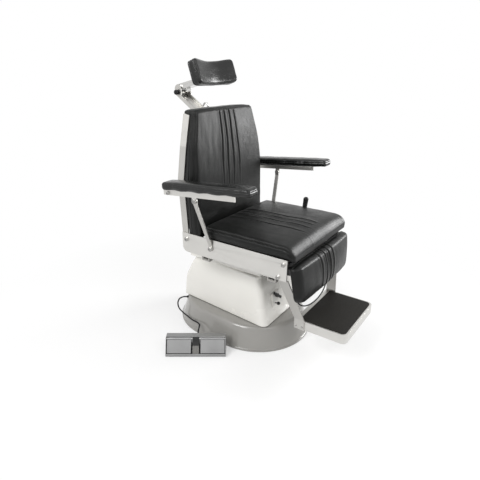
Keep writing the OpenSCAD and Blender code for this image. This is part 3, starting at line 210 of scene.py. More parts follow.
# %% [markdown]
# Brushed sheet metal carries hair-thin lines along the way it was rolled. A noise that is squeezed
# hard across that way and drawn out along it gives such lines. Smudges are a slow, cloudy noise,
# and paint and plastic have a fine, even skin.

# %% Brushed lines and smudges
def brushed_group(name, stretch):
    group, _, outlet = node_group(name, [], ["Height"])
    lines = noise_node(group, stretched_point(group, stretch), 1.0, 4.0, 0.7)
    group.links.new(lines, outlet.inputs["Height"])
    return group


brushed_along_x = brushed_group("brushed_along_x", (16, 900, 1400))
brushed_along_z = brushed_group("brushed_along_z", (1400, 900, 16))

smudge_group, group_in, group_out = node_group("smudges", [("Size", 9.0)], ["Mask"])
cloud = noise_node(smudge_group, stretched_point(smudge_group), group_in.outputs["Size"], 6.0, 0.62)
smudge_group.links.new(ramp_node(smudge_group, cloud, 0.35, 0.7), group_out.inputs["Mask"])

peel_group, group_in, group_out = node_group("moulded_skin", [("Scale", 260.0)], ["Height"])
peel = noise_node(peel_group, stretched_point(peel_group), group_in.outputs["Scale"], 2.0)
peel_group.links.new(peel, group_out.inputs["Height"])
print("groups:", brushed_along_x.name, brushed_along_z.name, smudge_group.name, peel_group.name)

# %% [markdown]
# Each material is one Principled shader. A maker's recipe sets its plain numbers, and the groups
# add a small change of tone, of gloss and of height over the surface.

# %% Material builder
def set_inputs(node, values):
    for label, value in values.items():
        node.inputs[label].default_value = value


def group_node(tree, group, values):
    made = tree.nodes.new("ShaderNodeGroup")
    made.node_tree = group
    set_inputs(made, values)
    return made


def finish(name, colour, roughness, bump, detail=peel_group, depth=0.0003, metallic=0.0,
           tone=0.08, gloss=0.06, smudge=9.0, coat=0.0, coat_roughness=0.1, specular=0.5,
           detail_inputs=None):
    """A material whose tone and gloss wander by the given shares, with a group's height as bump."""
    material = bpy.data.materials.new(name)
    material.use_nodes = True
    tree = material.node_tree
    shader = tree.nodes["Principled BSDF"]
    set_inputs(shader, {"Metallic": metallic, "Coat Weight": coat,
                        "Coat Roughness": coat_roughness, "Specular IOR Level": specular})
    mask = group_node(tree, smudge_group, {"Size": smudge}).outputs["Mask"]
    mix = tree.nodes.new("ShaderNodeMix")
    mix.data_type = "RGBA"
    mix.inputs["A"].default_value = [c * (1 - tone) for c in colour] + [1]
    mix.inputs["B"].default_value = [min(1, c * (1 + tone)) for c in colour] + [1]
    tree.links.new(mask, mix.inputs["Factor"])
    tree.links.new(mix.outputs["Result"], shader.inputs["Base Color"])
    rough = ramp_node(tree, mask, 0, 1, roughness - gloss, roughness + gloss)
    tree.links.new(rough, shader.inputs["Roughness"])
    relief = tree.nodes.new("ShaderNodeBump")
    set_inputs(relief, {"Strength": bump, "Distance": depth})
    grain = group_node(tree, detail, detail_inputs or {})
    tree.links.new(grain.outputs["Height"], relief.inputs["Height"])
    tree.links.new(relief.outputs["Normal"], shader.inputs["Normal"])
    return material


# %% [markdown]
# The colours were judged on the photograph: near-black pads with a cool sheen, bright satin panels,
# an ivory cover over a grey foot, and chromed joints on the headrest.

# %% The chair's finishes
LEATHER_BLACK = (0.0055, 0.006, 0.0055)
SATIN = {"bump": 0.12, "depth": 0.0002, "metallic": 1.0, "tone": 0.03, "gloss": 0.05}
black_leather = finish("black_leather", LEATHER_BLACK, 0.36, 0.55, leather_group, 0.0005,
                       tone=0.16, gloss=0.05, smudge=5.0, specular=0.24)
worn_leather = finish("worn_leather", LEATHER_BLACK, 0.26, 0.4, leather_group, 0.0004,
                      tone=0.16, gloss=0.05, smudge=7.0, specular=0.42)
satin_panel = finish("satin_panel", (0.64, 0.63, 0.605), 0.40, detail=brushed_along_x, **SATIN)
satin_upright = finish("satin_upright", (0.52, 0.51, 0.488), 0.42, detail=brushed_along_z, **SATIN)
chrome = finish("chrome", (0.60, 0.595, 0.58), 0.14, 0.03, metallic=1.0, tone=0.02, gloss=0.04,
                smudge=24.0)
ivory_shell = finish("ivory_shell", (0.80, 0.785, 0.74), 0.26, 0.05, depth=0.0004, tone=0.015,
                     gloss=0.05, smudge=4.0, coat=0.35, coat_roughness=0.12)
grey_shell = finish("grey_shell", (0.29, 0.282, 0.264), 0.18, 0.05, depth=0.0004, tone=0.03,
                    smudge=6.0, coat=0.5)
dark_paint = finish("dark_paint", (0.045, 0.046, 0.048), 0.42, 0.12, tone=0.1, smudge=14.0)
black_laminate = finish("black_laminate", (0.026, 0.026, 0.027), 0.5, 0.25, tone=0.12)
mat_rubber = finish("mat_rubber", (0.013, 0.012, 0.010), 0.62, 0.8, leather_group, 0.0006,
                    tone=0.12, specular=0.14, detail_inputs={"Cells": 300.0, "Crease": 0.0})
soft_black = finish("soft_black", (0.010, 0.010, 0.0105), 0.46, 0.2, tone=0.12, smudge=20.0,
                    specular=0.22)
cap_steel = finish("cap_steel", (0.36, 0.355, 0.345), 0.26, 0.05, depth=0.0002, metallic=1.0,
                   tone=0.05, smudge=40.0)
# The divider's own grey; its black top is painted recess shade, added further down.
divider_grey_and_shade = finish("divider_grey_and_shade", (0.17, 0.165, 0.155), 0.45, 0.2, tone=0.12, smudge=20.0)
pedal_steel = finish("pedal_steel", (0.30, 0.30, 0.30), 0.36, 0.2, brushed_along_x, 0.0002,
                     metallic=1.0, tone=0.05)
raw_steel = finish("raw_steel", (0.52, 0.51, 0.50), 0.3, 0.08, metallic=1.0, tone=0.06,
                   gloss=0.08, smudge=30.0)
print("finishes:", len(bpy.data.materials))

# %% [markdown]
# The divider between the two pedals is one plate. Its top holds a recess that is not modelled, so
# the
# shade inside that recess is painted: above one height the plate's grey turns black.

# %% The divider's painted recess shade
RECESS_Z = 0.045
RECESS_BLUR = 0.001
# The black above RECESS_Z is painted shade, standing for the shade inside the divider's top recess.
RECESS_PAINTED_SHADE = (0.004, 0.004, 0.004, 1)
tree = divider_grey_and_shade.node_tree
base_input = tree.nodes["Principled BSDF"].inputs["Base Color"]
plain = base_input.links[0].from_socket
heights = tree.nodes.new("ShaderNodeSeparateXYZ")
tree.links.new(stretched_point(tree), heights.inputs[0])
above = ramp_node(tree, heights.outputs["Z"], RECESS_Z - RECESS_BLUR, RECESS_Z + RECESS_BLUR)
shade = tree.nodes.new("ShaderNodeMix")
shade.data_type = "RGBA"
tree.links.new(above, shade.inputs["Factor"])
tree.links.new(plain, shade.inputs["A"])
shade.inputs["B"].default_value = RECESS_PAINTED_SHADE
tree.links.new(shade.outputs["Result"], base_input)
print("the divider turns black above", RECESS_Z, "m")

# %% [markdown]
# ## The metal frame
# The imported nodes keep their shape. Each gets its finish, and those in BEVELS a fine bevel as a
# modifier: real sheet edges are never razor sharp, and the small round catches a line of light.

# %% Finishes of the imported nodes
NODE_FINISH = {
    satin_panel: ["side_panel_right", "side_panel_left", "arm_bar_right", "arm_bar_left",
                  "foot_tray"],
    satin_upright: ["back_rail_right", "back_rail_left", "leg_arm_right", "leg_arm_left",
                    "strut_right", "strut_left", "head_mast", "recline_lever"],
    chrome: ["head_arm", "mast_ring", "column_inner", "back_pivot_bolts", "strut_pivot_bolts",
             "leg_bolts", "arm_pivot_pins", "switch_rods"],
    raw_steel: ["bearing_lower", "bearing_upper", "lift_spindle", "cover_spacers",
                "switch_springs"],
    dark_paint: ["base_plate", "column_outer", "lift_motor", "mast_guide"],
    black_laminate: ["seat_board", "calf_board", "back_shell", "head_plate"],
    # The divider's black top is painted recess shade.
    divider_grey_and_shade: ["switch_divider"],
    soft_black: ["switch_contacts", "switch_feet", "lock_lever", "release_pull",
                 "calf_bail", "cord_gland"],
    pedal_steel: ["switch_housing", "pedal_up", "pedal_down"],
    ivory_shell: ["lock_bezel", "carrier_plate"],
    grey_shell: ["seat_frame"],
    mat_rubber: ["foot_mat"],
}


WELD_GAP = 0.00002
BEVEL_ANGLE = math.radians(35)


def eased(piece, width):
    """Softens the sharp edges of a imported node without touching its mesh."""
    weld = piece.modifiers.new("weld", "WELD")
    weld.merge_threshold = WELD_GAP
    bevel = piece.modifiers.new("bevel", "BEVEL")
    bevel.width = width * MM
    bevel.segments = 2
    bevel.limit_method = "ANGLE"
    bevel.angle_limit = BEVEL_ANGLE
    bevel.harden_normals = True


BEVELS = {
    0.6: ["strut_right", "strut_left", "head_mast"],
    0.7: ["side_panel_right", "side_panel_left", "leg_arm_right", "leg_arm_left",
          "arm_bar_right", "arm_bar_left"],
    0.8: ["back_rail_right", "back_rail_left", "foot_tray", "carrier_plate", "seat_frame",
          "switch_housing", "recline_lever", "head_plate"],
    0.9: ["foot_mat"],
    1.0: ["head_arm", "back_shell", "seat_board", "calf_board"],
    1.2: ["mast_guide", "lock_bezel", "lock_lever"],
}
BEVEL_OF = {name: width for width, names in BEVELS.items() for name in names}
for material, names in NODE_FINISH.items():
    for node_name in names:
        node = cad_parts[node_name]
        node.data.materials.clear()
        node.data.materials.append(material)
        if node_name in BEVEL_OF:
            eased(node, BEVEL_OF[node_name])
print("packed nodes with a finish:", sum(len(names) for names in NODE_FINISH.values()))

# %% [markdown]
# ## Making meshes
# One helper turns points and faces into an object, smooths its shading, gives it a finish, and
# lets it ride on its body of the chair.

# %% Mesh helper
def piece_from(name, points, faces, material, body, replaced=(), levels=0):
    mesh = bpy.data.meshes.new(name)
    mesh.from_pydata([tuple(p) for p in points], [], faces)
    mesh.validate()
    mesh.polygons.foreach_set("use_smooth", [True] * len(mesh.polygons))
    mesh.materials.append(material)
    made = linked(name, mesh)
    if levels:
        subdivision = made.modifiers.new("subdivision", "SUBSURF")
        subdivision.levels = levels
        subdivision.render_levels = levels
    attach(made, body)
    if replaced:
        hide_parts(*replaced)
    print(name, len(mesh.vertices), "points")
    return made


# %% [markdown]
# ## The foot switch's cord
# The cord leaves the base through a grommet at the rear right, loops down and lies along the
# foot's wall to the switch. Its points are the ones the frame was built with. A smooth curve with
# a round bevel is the usual way to draw a cord, because its middle line stays exact.

# %% Cord
CORD_ROUTE = [(-260.5, -154.8, 101), (-274, -167, 101), (-284, -186, 96), (-281, -203, 80),
              (-264, -214, 61), (-232, -220, 49), (-190, -230, 46), (-146, -247, 51),
              (-106, -256, 56), (-80, -267, 55), (-68, -290, 42), (-53.8, -309.9, 30),
              (-43.4, -324.6, 30)]
CORD_ACROSS = 7
CORD_STEPS = 3


def spline_point(a, b, c, d, t):
    """A point between b and c on the smooth curve through a, b, c and d."""
    return (2 * b + (c - a) * t + (2 * a - 5 * b + 4 * c - d) * t * t
            + (3 * b - a - 3 * c + d) * t * t * t) / 2


def smooth_route(points, steps):
    p = [Vector(q) for q in points]
    p = [2 * p[0] - p[1]] + p + [2 * p[-1] - p[-2]]
    line = [spline_point(*p[i:i + 4], j / steps)
            for i in range(len(p) - 3) for j in range(steps)]
    return line + [p[-2]]


cord_line = [q * MM for q in smooth_route(CORD_ROUTE, CORD_STEPS)]
cord_curve = bpy.data.curves.new("switch_lead", "CURVE")
cord_curve.dimensions = "3D"
cord_curve.bevel_depth = CORD_ACROSS * MM / 2
cord_curve.bevel_resolution = 5
cord_curve.use_fill_caps = True
spline = cord_curve.splines.new("BEZIER")
spline.bezier_points.add(len(cord_line) - 1)
for knot, place in zip(spline.bezier_points, cord_line):
    knot.co = place
    knot.handle_left_type = knot.handle_right_type = "AUTO"
switch_lead = linked("switch_lead", cord_curve)
cord_curve.materials.append(soft_black)
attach(switch_lead, "base")
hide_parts("switch_cord")

# %% [markdown]
# Turned parts, such as knobs, caps and the cord's boot, come from a profile spun round an axis. A
# profile point may ask for six sides, which gives the socket of a cap screw.

# %% Turning helper
TURN_STEPS = 48
SPLIT_ANGLE = math.radians(38)


def ring_faces(rows, count):
    """The quads between closed rings of equal count."""
    return [[i * count + k, i * count + (k + 1) % count, (i + 1) * count + (k + 1) % count,
             (i + 1) * count + k] for i in range(rows - 1) for k in range(count)]


def turned(name, profile, origin, axis, material, body, replaced=(), steps=TURN_STEPS):
    """Spins (radius, distance, sides) points round an axis that starts at origin."""
    direction = Vector(axis).normalized()
    turn = direction.to_track_quat("Z", "Y").to_matrix()
    base = Vector(origin)
    points = []
    for radius, distance, *sides in profile:
        for k in range(steps):
            angle = 2 * math.pi * k / steps
            reach = radius
            if sides:
                part = math.pi / sides[0]
                reach = radius * math.cos(part) / math.cos((angle % (2 * part)) - part)
            local = Vector((reach * math.cos(angle), reach * math.sin(angle), distance))
            points.append((base + turn @ local) * MM)
    rows = len(profile)
    faces = ring_faces(rows, steps)
    faces.append(list(range(steps - 1, -1, -1)))
    faces.append(list(range((rows - 1) * steps, rows * steps)))
    made = piece_from(name, points, faces, material, body, replaced)
    edges = made.modifiers.new("edges", "EDGE_SPLIT")
    edges.split_angle = SPLIT_ANGLE
    return made


# %% [markdown]
# The boot on the switch is a soft cone with rings cut round it, so that the cord bends gently.

# %% Strain relief
SWITCH_CENTRE = Vector((-4, -380, 0))
SWITCH_TURN = math.radians(35.4)
SWITCH_BACK = Vector((-math.sin(SWITCH_TURN), math.cos(SWITCH_TURN), 0))
SWITCH_DEPTH = 76
BOOT_Z = 30
BOOT_LENGTH = 30
BOOT_R = 7
BOOT_TIP_R = 4.9
BOOT_RINGS = 7
BOOT_PITCH = 3.4
BOOT_GROOVE = 1.1


def boot_profile():
    profile = [(BOOT_R, -0.2), (BOOT_R, 3)]
    for k in range(BOOT_RINGS):
        start = 4 + k * BOOT_PITCH
        outer = blend_between(BOOT_R, BOOT_TIP_R, start / BOOT_LENGTH)
        inner = outer - BOOT_GROOVE
        profile += [(inner, start), (inner, start + 1.2), (outer, start + 1.5),
                    (outer, start + 3.1)]
    return profile + [(4.8, BOOT_LENGTH - 0.6), (4.2, BOOT_LENGTH)]


boot_start = SWITCH_CENTRE + SWITCH_BACK * (SWITCH_DEPTH / 2) + Vector((0, 0, BOOT_Z))
switch_boot = turned("switch_boot", boot_profile(), boot_start, SWITCH_BACK, soft_black, "base",
                     ["switch_strain_relief"], steps=32)

# %% [markdown]
# ## Lofted shells
# The ivory cover and the grey foot are thin mouldings. Both are drawn as a stack of closed rings
# that are joined by faces, and a Solidify modifier gives the wall its thickness.

# %% Loft helper
def lofted(name, rings, material, body, replaced, wall):
    """Joins closed rings of equal count from the foot upwards."""
    points = [metres(*q) for ring in rings for q in ring]
    made = piece_from(name, points, ring_faces(len(rings), len(rings[0])), material, body,
                      replaced)
    thickness = made.modifiers.new("wall", "SOLIDIFY")
    thickness.thickness = wall * MM
    thickness.offset = -1
    thickness.use_even_offset = False


def spread(a, b, count):
    return [blend_between(a, b, i / count) for i in range(count)]


def spread_points(a, b, count):
    return list(zip(spread(a[0], b[0], count), spread(a[1], b[1], count)))


COLUMN_HOLE = 91


def hole_ring(ring):
    """The round hole for the column, at the height of a ring."""
    return [(x * COLUMN_HOLE / math.hypot(x, y), y * COLUMN_HOLE / math.hypot(x, y), z)
            for x, y, z in ring]


# %% [markdown]
# The cover's outline is a rectangle with round corners that narrows upwards. Between the levels
# its sides are nearly straight, and each bend is eased by taking the mean over a short height.

# %% Upper cover
COVER_HEIGHTS = (115, 225, 250, 305, 346)
COVER_FRONT = (242, 225.7, 222, 206, 182)
COVER_REAR = (290, 277, 262, 236, 210)
COVER_WIDTH = (1.0, 0.988, 0.985, 0.95, 0.86)
COVER_FRONT_W = 181
COVER_REAR_W = 146
COVER_CORNER = 28
COVER_EASE = 16
COVER_WALL = 4
COVER_SHOULDER = 10
COVER_SHOULDER_STEPS = 6
COVER_ARC_STEPS = 10
COVER_SIDE_STEPS = 9


def cover_eased(z, values):
    reach = min(COVER_EASE, z - COVER_HEIGHTS[0], COVER_HEIGHTS[-1] - z)
    return mean_around(lambda shift: through(z + shift, COVER_HEIGHTS, values), reach)


def cover_ring(z, inset=0.0, height=None):
    """The outline of a level, drawn in by inset and laid at another height if one is given."""
    front, rear, width = (cover_eased(z, v) for v in (COVER_FRONT, COVER_REAR, COVER_WIDTH))
    front_w, rear_w, r = COVER_FRONT_W * width, COVER_REAR_W * width, COVER_CORNER
    corners = [(front - r, front_w - r, 0), (r - rear, rear_w - r, 90),
               (r - rear, r - rear_w, 180), (front - r, r - front_w, 270)]
    ring = []
    for i, (x, y, start) in enumerate(corners):
        arc = [math.radians(start + 90 * k / COVER_ARC_STEPS) for k in range(COVER_ARC_STEPS + 1)]
        ring += [(x + (r - inset) * math.cos(a), y + (r - inset) * math.sin(a)) for a in arc]
        nx, ny, turn = corners[(i + 1) % 4]
        a = math.radians(turn)
        following = (nx + (r - inset) * math.cos(a), ny + (r - inset) * math.sin(a))
        ring += spread_points(ring[-1], following, COVER_SIDE_STEPS)[1:]
    top = z if height is None else height
    return [(x, y, top) for x, y in ring]


round_z = COVER_HEIGHTS[-1] - COVER_SHOULDER
cover_heights = [115.4, 117.5] + spread(121, 205, 9) + spread(205, round_z, 24) + [round_z]
cover_rings = [cover_ring(COVER_HEIGHTS[0], 1.6)] + [cover_ring(z) for z in cover_heights]
for k in range(1, COVER_SHOULDER_STEPS + 1):
    turn = math.radians(90 * k / COVER_SHOULDER_STEPS)
    cover_rings.append(cover_ring(round_z, COVER_SHOULDER * (1 - math.cos(turn)),
                                  round_z + COVER_SHOULDER * math.sin(turn)))
cover_rings.append(hole_ring(cover_rings[-1]))
lofted("ivory_cover", cover_rings, ivory_shell, "lift", ["upper_cover"], COVER_WALL)

# %% [markdown]
# The foot is a stadium: two half circles joined by straights. Its profile has a low rim that
# stands on the floor, a wall that leans in by 18 degrees, and a well rounded shoulder.

# %% Foot of the pedestal
FOOT_HALF_RUN = 85
FOOT_R = 256
FOOT_RIM = 6
FOOT_RIM_H = 9
FOOT_H = 112
FOOT_ROUND = 22
FOOT_LEAN = math.radians(18)
FOOT_EDGE_R = 1.6
FOOT_WALL = 5
FOOT_ARC_STEPS = 32
FOOT_STRAIGHT_STEPS = 8


def arc_points(cx, cz, r, a0, a1, count):
    turns = [math.radians(blend_between(a0, a1, i / count)) for i in range(count + 1)]
    return [(cx + r * math.cos(a), cz + r * math.sin(a)) for a in turns]


def foot_profile():
    lean = math.degrees(FOOT_LEAN)
    sin, cos = math.sin(FOOT_LEAN), math.cos(FOOT_LEAN)
    rise = (FOOT_H - FOOT_ROUND - FOOT_RIM_H - FOOT_RIM + (FOOT_ROUND + FOOT_RIM) * sin) / cos
    shoulder = FOOT_R + FOOT_RIM - (FOOT_RIM + FOOT_ROUND) * cos - rise * sin
    edge = FOOT_R + FOOT_RIM
    profile = [(edge - 1, 0.2), (edge - 0.2, 1.2)]
    profile += spread_points((edge, 2), (edge, FOOT_RIM_H - 2), 3)
    profile += arc_points(edge - FOOT_EDGE_R, FOOT_RIM_H - FOOT_EDGE_R, FOOT_EDGE_R, 0, 80, 4)
    profile += arc_points(edge, FOOT_RIM_H + FOOT_RIM, FOOT_RIM, 262, 180 + lean, 8)
    low = profile[-1]
    upper = arc_points(shoulder, FOOT_H - FOOT_ROUND, FOOT_ROUND, lean, 90, 14)
    profile += spread_points(low, upper[0], 10)[1:]
    return profile + upper + [(shoulder - 20, FOOT_H), (shoulder - 60, FOOT_H)]


def foot_ring(r, z):
    """Half of the stadium, and the same half turned by 180 degrees."""
    turns = [math.radians(-90 + 180 * i / FOOT_ARC_STEPS) for i in range(FOOT_ARC_STEPS + 1)]
    half = [(FOOT_HALF_RUN + r * math.cos(a), r * math.sin(a)) for a in turns]
    half += [(x, r) for x in spread(FOOT_HALF_RUN, -FOOT_HALF_RUN, FOOT_STRAIGHT_STEPS)[1:]]
    return [(x, y, z) for x, y in half + [(-x, -y) for x, y in half]]


foot_rings = [foot_ring(r, z) for r, z in foot_profile()]
foot_rings.append(hole_ring(foot_rings[-1]))
lofted("grey_foot", foot_rings, grey_shell, "base", ["base_pan"], FOOT_WALL)

# %% [markdown]
# ## Pads
# A pad starts as the skin of a box, cut into many small quads. Lines are packed closer where a
# seam or a sewn fold will lie, so that a fold can be crisp without millions of faces. The box is
# then rounded, crowned and laid into place, and only at the end do seams, folds and wrinkles move
# each point along its normal.

# %% Grid lines and the skin of a box
SEAM_LINES = (-6.0, -3.4, -1.6, 0.0, 1.6, 3.4, 6.0)
SEAM_CLEAR = 7.5
SKIN_EDGE = 0.01


def grid_lines(low, high, step, marks=()):
    count = max(2, round((high - low) / step))
    values = [blend_between(low, high, i / count) for i in range(count + 1)]
    for mark in marks:
        values = [v for v in values if abs(v - mark) > SEAM_CLEAR or v in (low, high)]
        values += [mark + offset for offset in SEAM_LINES if low < mark + offset < high]
    return sorted(values)


def box_skin(us, vs, ws):
    """The six sides of a box as one closed mesh of quads."""
    index, points, faces = {}, [], []

    def at(i, j, k):
        if (i, j, k) not in index:
            index[i, j, k] = len(points)
            points.append((us[i], vs[j], ws[k]))
        return index[i, j, k]

    nu, nv, nw = len(us) - 1, len(vs) - 1, len(ws) - 1
    for i in range(nu):
        for j in range(nv):
            faces.append([at(i, j, nw), at(i + 1, j, nw), at(i + 1, j + 1, nw), at(i, j + 1, nw)])
            faces.append([at(i, j, 0), at(i, j + 1, 0), at(i + 1, j + 1, 0), at(i + 1, j, 0)])
    for i in range(nu):
        for k in range(nw):
            faces.append([at(i, 0, k), at(i + 1, 0, k), at(i + 1, 0, k + 1), at(i, 0, k + 1)])
            faces.append([at(i, nv, k), at(i, nv, k + 1), at(i + 1, nv, k + 1), at(i + 1, nv, k)])
    for j in range(nv):
        for k in range(nw):
            faces.append([at(0, j, k), at(0, j, k + 1), at(0, j + 1, k + 1), at(0, j + 1, k)])
            faces.append([at(nu, j, k), at(nu, j + 1, k), at(nu, j + 1, k + 1), at(nu, j, k + 1)])
    return points, faces


# %% [markdown]
# Rounding pulls each edge of the box onto a quarter ellipse. Every side has a width of its own, so
# a seat can have a deep roll at its front and tight edges at its back.

# %% Rounding
def rounded(point, lows, highs, low_rounds, high_rounds):
    """Moves a point of the box's skin onto the rounded box."""
    core, offset = [], []
    for value, low, high, near, far in zip(point, lows, highs, low_rounds, high_rounds):
        inside = clamped(value, low + near, high - far)
        reach = near if value < inside else far
        core.append((inside, reach))
        offset.append((value - inside) / reach if value != inside else 0.0)
    length = math.sqrt(sum(o * o for o in offset))
    if length < 1e-9:
        return point
    most = max(abs(o) for o in offset)
    return tuple(inside + reach * o / length * most for (inside, reach), o in zip(core, offset))


# %% [markdown]
# Seams pull the cover in along a thin line, with a soft roll on either side and small puckers
# where the thread tightens. Sewn folds are deeper and lean a little to one side. A welt is a
# piped edge.

# %% Relief of seams and folds
def seam_relief(distance, along, depth=1.7):
    pucker = 0.5 + 0.5 * math.sin(along * 0.42 + 1.3 * math.sin(along * 0.11))
    line = -depth * bell(distance, 1.9)
    roll = 0.45 * depth * bell(abs(distance) - 5.5, 3.0)
    return line + roll - 0.35 * pucker * bell(distance, 9.0)


def fold_relief(distance, depth):
    valley = -depth * bell(distance, 2.6)
    ridge = 0.7 * depth * bell(distance - 7.0, 4.6) + 0.35 * depth * bell(distance + 8.0, 5.6)
    return valley + ridge


def welt_relief(distance, along, height=2.4):
    """A piped edge: a round welt with a groove behind it and small puckers in front."""
    pucker = 0.5 + 0.5 * math.sin(along * 0.34 + 1.4 * math.sin(along * 0.09))
    groove = -1.2 * height * bell(distance + 4.4, 1.9) - 0.6 * height * bell(distance - 4.4, 1.9)
    return height * bell(distance, 2.3) + groove - 0.3 * pucker * bell(distance + 9, 7)


def wrinkle(u, v, w, scale, seed):
    """A slow, stretched noise, the same on every run."""
    return noise.noise(Vector((u * scale[0] + seed, v * scale[1] - seed, w * scale[2] + 2 * seed)))


# %% Pad builder
def pad(name, lows, highs, low_rounds, high_rounds, step, form, relief, marks, body, replaced,
        leather=black_leather):
    """A pad from its box, its form (box to millimetres) and its relief (box to a shift)."""
    axes = [grid_lines(low, high, step, lines) for low, high, lines in zip(lows, highs, marks)]
    skin, faces = box_skin(*axes)
    shaped = [Vector(form(*rounded(q, lows, highs, low_rounds, high_rounds))) for q in skin]
    normals = [Vector() for _ in shaped]
    for face in faces:
        a, b, c, d = (shaped[i] for i in face)
        normal = (c - a).cross(d - b)
        for i in face:
            normals[i] += normal
    centre = sum(shaped, Vector()) / len(shaped)
    inward = sum((p - centre).dot(n) for p, n in zip(shaped, normals)) < 0
    if inward:
        faces = [face[::-1] for face in faces]
        normals = [-n for n in normals]
    points = [(p + n.normalized() * relief(*q)) * MM for p, n, q in zip(shaped, normals, skin)]
    made = piece_from(name, points, faces, leather, body, replaced, levels=1)


def leaned(start, lean, down, out, y):
    """A point drawn down and out from a start, in a plane that leans back by an angle."""
    return (start[0] + down * math.cos(lean) + out * math.sin(lean), y,
            start[1] - down * math.sin(lean) + out * math.cos(lean))


# %% [markdown]
# ### Seat pad
# The seat is a firm block with one deep roll at its front, a crowned top and four long tucks that
# wander as they run forward and end before the roll. A piped welt follows the top edge of each
# side and turns down round the front corner. The frame's solid sets the outer size.

# %% Seat pad
SEAT_LOW = (-42, -257, 518.5)
SEAT_HIGH = (408, 257, 573)
SEAT_CROWN = 16
SEAT_FOLDS = [(-100, 4.4), (-50, 5.6), (-8, 5.6), (32, 4.8)]
SEAT_PLACES = [place for place, _ in SEAT_FOLDS]
SEAT_SQUARE = 3.5
SEAT_DRIFT = 22
SEAT_SAG = 3.0
SEAT_ROLL = 66
SEAT_ROLL_DROP = 22
SEAT_DIP = 10
SEAT_WELT_IN = 8
SEAT_WELT_R = 42
SEAT_WELT_H = 3.2


def seat_form(x, y, z):
    length = share(x, SEAT_LOW[0], SEAT_HIGH[0])
    a, b = 2 * length - 1, y / SEAT_HIGH[1]
    t = share(z, SEAT_LOW[2], SEAT_HIGH[2])
    crown = SEAT_CROWN * (1 - abs(a) ** SEAT_SQUARE) * (1 - abs(b) ** SEAT_SQUARE) * t
    drift = length * SEAT_DRIFT * bell(y + 30, 130)
    waist = 0.978 + 0.022 * smooth(t * 1.8)
    sag = SEAT_SAG * bell(x - 170, 110) * bell(y, 120) * t
    roll = share(x, SEAT_HIGH[0] - SEAT_ROLL, SEAT_HIGH[0])
    dip = SEAT_DIP * (1 - t) * smooth(share(x, 380, SEAT_HIGH[0]))
    down = SEAT_ROLL_DROP * roll ** 2.4 * t + dip
    return x, (y + drift) * waist, z + crown - sag - down


def seat_welt(x, z):
    """How far a point of the side lies outside the welt's line."""
    cx, cz = (SEAT_HIGH[axis] - SEAT_WELT_IN - SEAT_WELT_R for axis in (0, 2))
    if x <= cx:
        return z - cz - SEAT_WELT_R
    return math.hypot(x - cx, max(0.0, z - cz)) - SEAT_WELT_R


def seat_relief(x, y, z):
    on_top = z >= SEAT_HIGH[2] - SKIN_EDGE
    ahead = x >= SEAT_HIGH[0] - SKIN_EDGE
    total = 0.0
    length = share(x, SEAT_LOW[0], SEAT_HIGH[0])
    if on_top or ahead:
        fade = smooth(length / 0.16) * smooth((SEAT_HIGH[0] - 34 - x) / 60)
        sway = 4.5 * math.sin(x * 0.021) + 2.5 * math.sin(x * 0.047 + 1.0)
        for place, depth in SEAT_FOLDS:
            swell = 0.8 + 0.2 * math.sin(length * 7 + place)
            total += fold_relief(y - place - 0.5 * sway, depth * fade * swell)
        total += 1.6 * fade * wrinkle(x, y, z, (0.011, 0.045, 0.03), 4.1) * bell(y + 30, 150)
        total += 1.5 * wrinkle(x, y, z, (0.016, 0.011, 0.02), 9.3)
        gather = bell(x - SEAT_HIGH[0] + 8, 30) if on_top else smooth((z - 530) / 30)
        creases = abs(wrinkle(0.25 * x, y, 0.25 * z, (0.02, 0.07, 0.02), 2.2))
        total += 2.2 * gather * creases * bell(y + 60, 120)
    elif abs(y) >= SEAT_HIGH[1] - SKIN_EDGE:
        total += welt_relief(seat_welt(x, z), x + z, SEAT_WELT_H)
        total += 1.4 * math.sin(math.pi * share(z, SEAT_LOW[2], 562))
        total += wrinkle(x, y, z, (0.022, 0.03, 0.02), 5.5)
    else:
        total += 0.8 * wrinkle(x, y, z, (0.03, 0.03, 0.02), 5.5)
    return total


pad("seat_pad", SEAT_LOW, SEAT_HIGH, (14, 10, 7), (36, 10, 20), 6, seat_form, seat_relief,
    ((352, 368, 384, 397), SEAT_PLACES, (530, 546, 564)), "seat", ["seat_cushion"])

# %% [markdown]
# Under the pad sits its base, a narrower black block that rests on the seat board between the two
# side panels.

# %% Seat base
BASE_LOW = (-35, -236, 499.6)
BASE_HIGH = (383, 236, 517.6)
BASE_ROUNDS = (5, 5, 3)
pad("seat_base", BASE_LOW, BASE_HIGH, BASE_ROUNDS, BASE_ROUNDS, 14, lambda *q: q,
    lambda x, y, z: 0.5 * wrinkle(x, y, z, (0.02, 0.02, 0.05), 1.7), ((), (), ()), "seat", ())

# %% [markdown]
# ### Back pad
# The back pad follows the rails: straight up to the armrests, then drawn in towards the top. Its
# top edge reaches back over the rails' ends. Four folds start just under the top edge and fade
# out halfway down, where the leather lies flat again. A welt runs down each side near the front.

# %% Back pad
RAIL_HEIGHTS = (488, 760, 905, 1035)
RAIL_XS = (-154, -169, -157, -160)
RAIL_TOP_Z = RAIL_HEIGHTS[-1]
RAIL_W = 34
RAIL_EASE = 20
BACK_LOW = 503
BACK_TOP = 1054
BACK_ARM_Z = RAIL_HEIGHTS[1]
BACK_WIDE = 249
BACK_TOP_W = 203
BACK_BEND_W = BACK_TOP_W + (BACK_WIDE - BACK_TOP_W) * 0.73
BACK_DROP = 6
BACK_DEEP = 84
BACK_FOLDS = [(-70, 4.6), (-32, 5.4), (8, 5.4), (52, 4.2)]
BACK_PLACES = [place for place, _ in BACK_FOLDS]
BACK_WELT = BACK_DEEP - 12
BACK_SEAM = 30


def back_rear(z):
    """The pad's rear side: on the rails, and reaching back over their ends."""
    rear = through(z, RAIL_HEIGHTS, RAIL_XS) + RAIL_W / 2 + 0.6
    over = smooth((z - RAIL_TOP_Z - 1.2) / 1.2)
    return rear - over * (RAIL_W - 1)


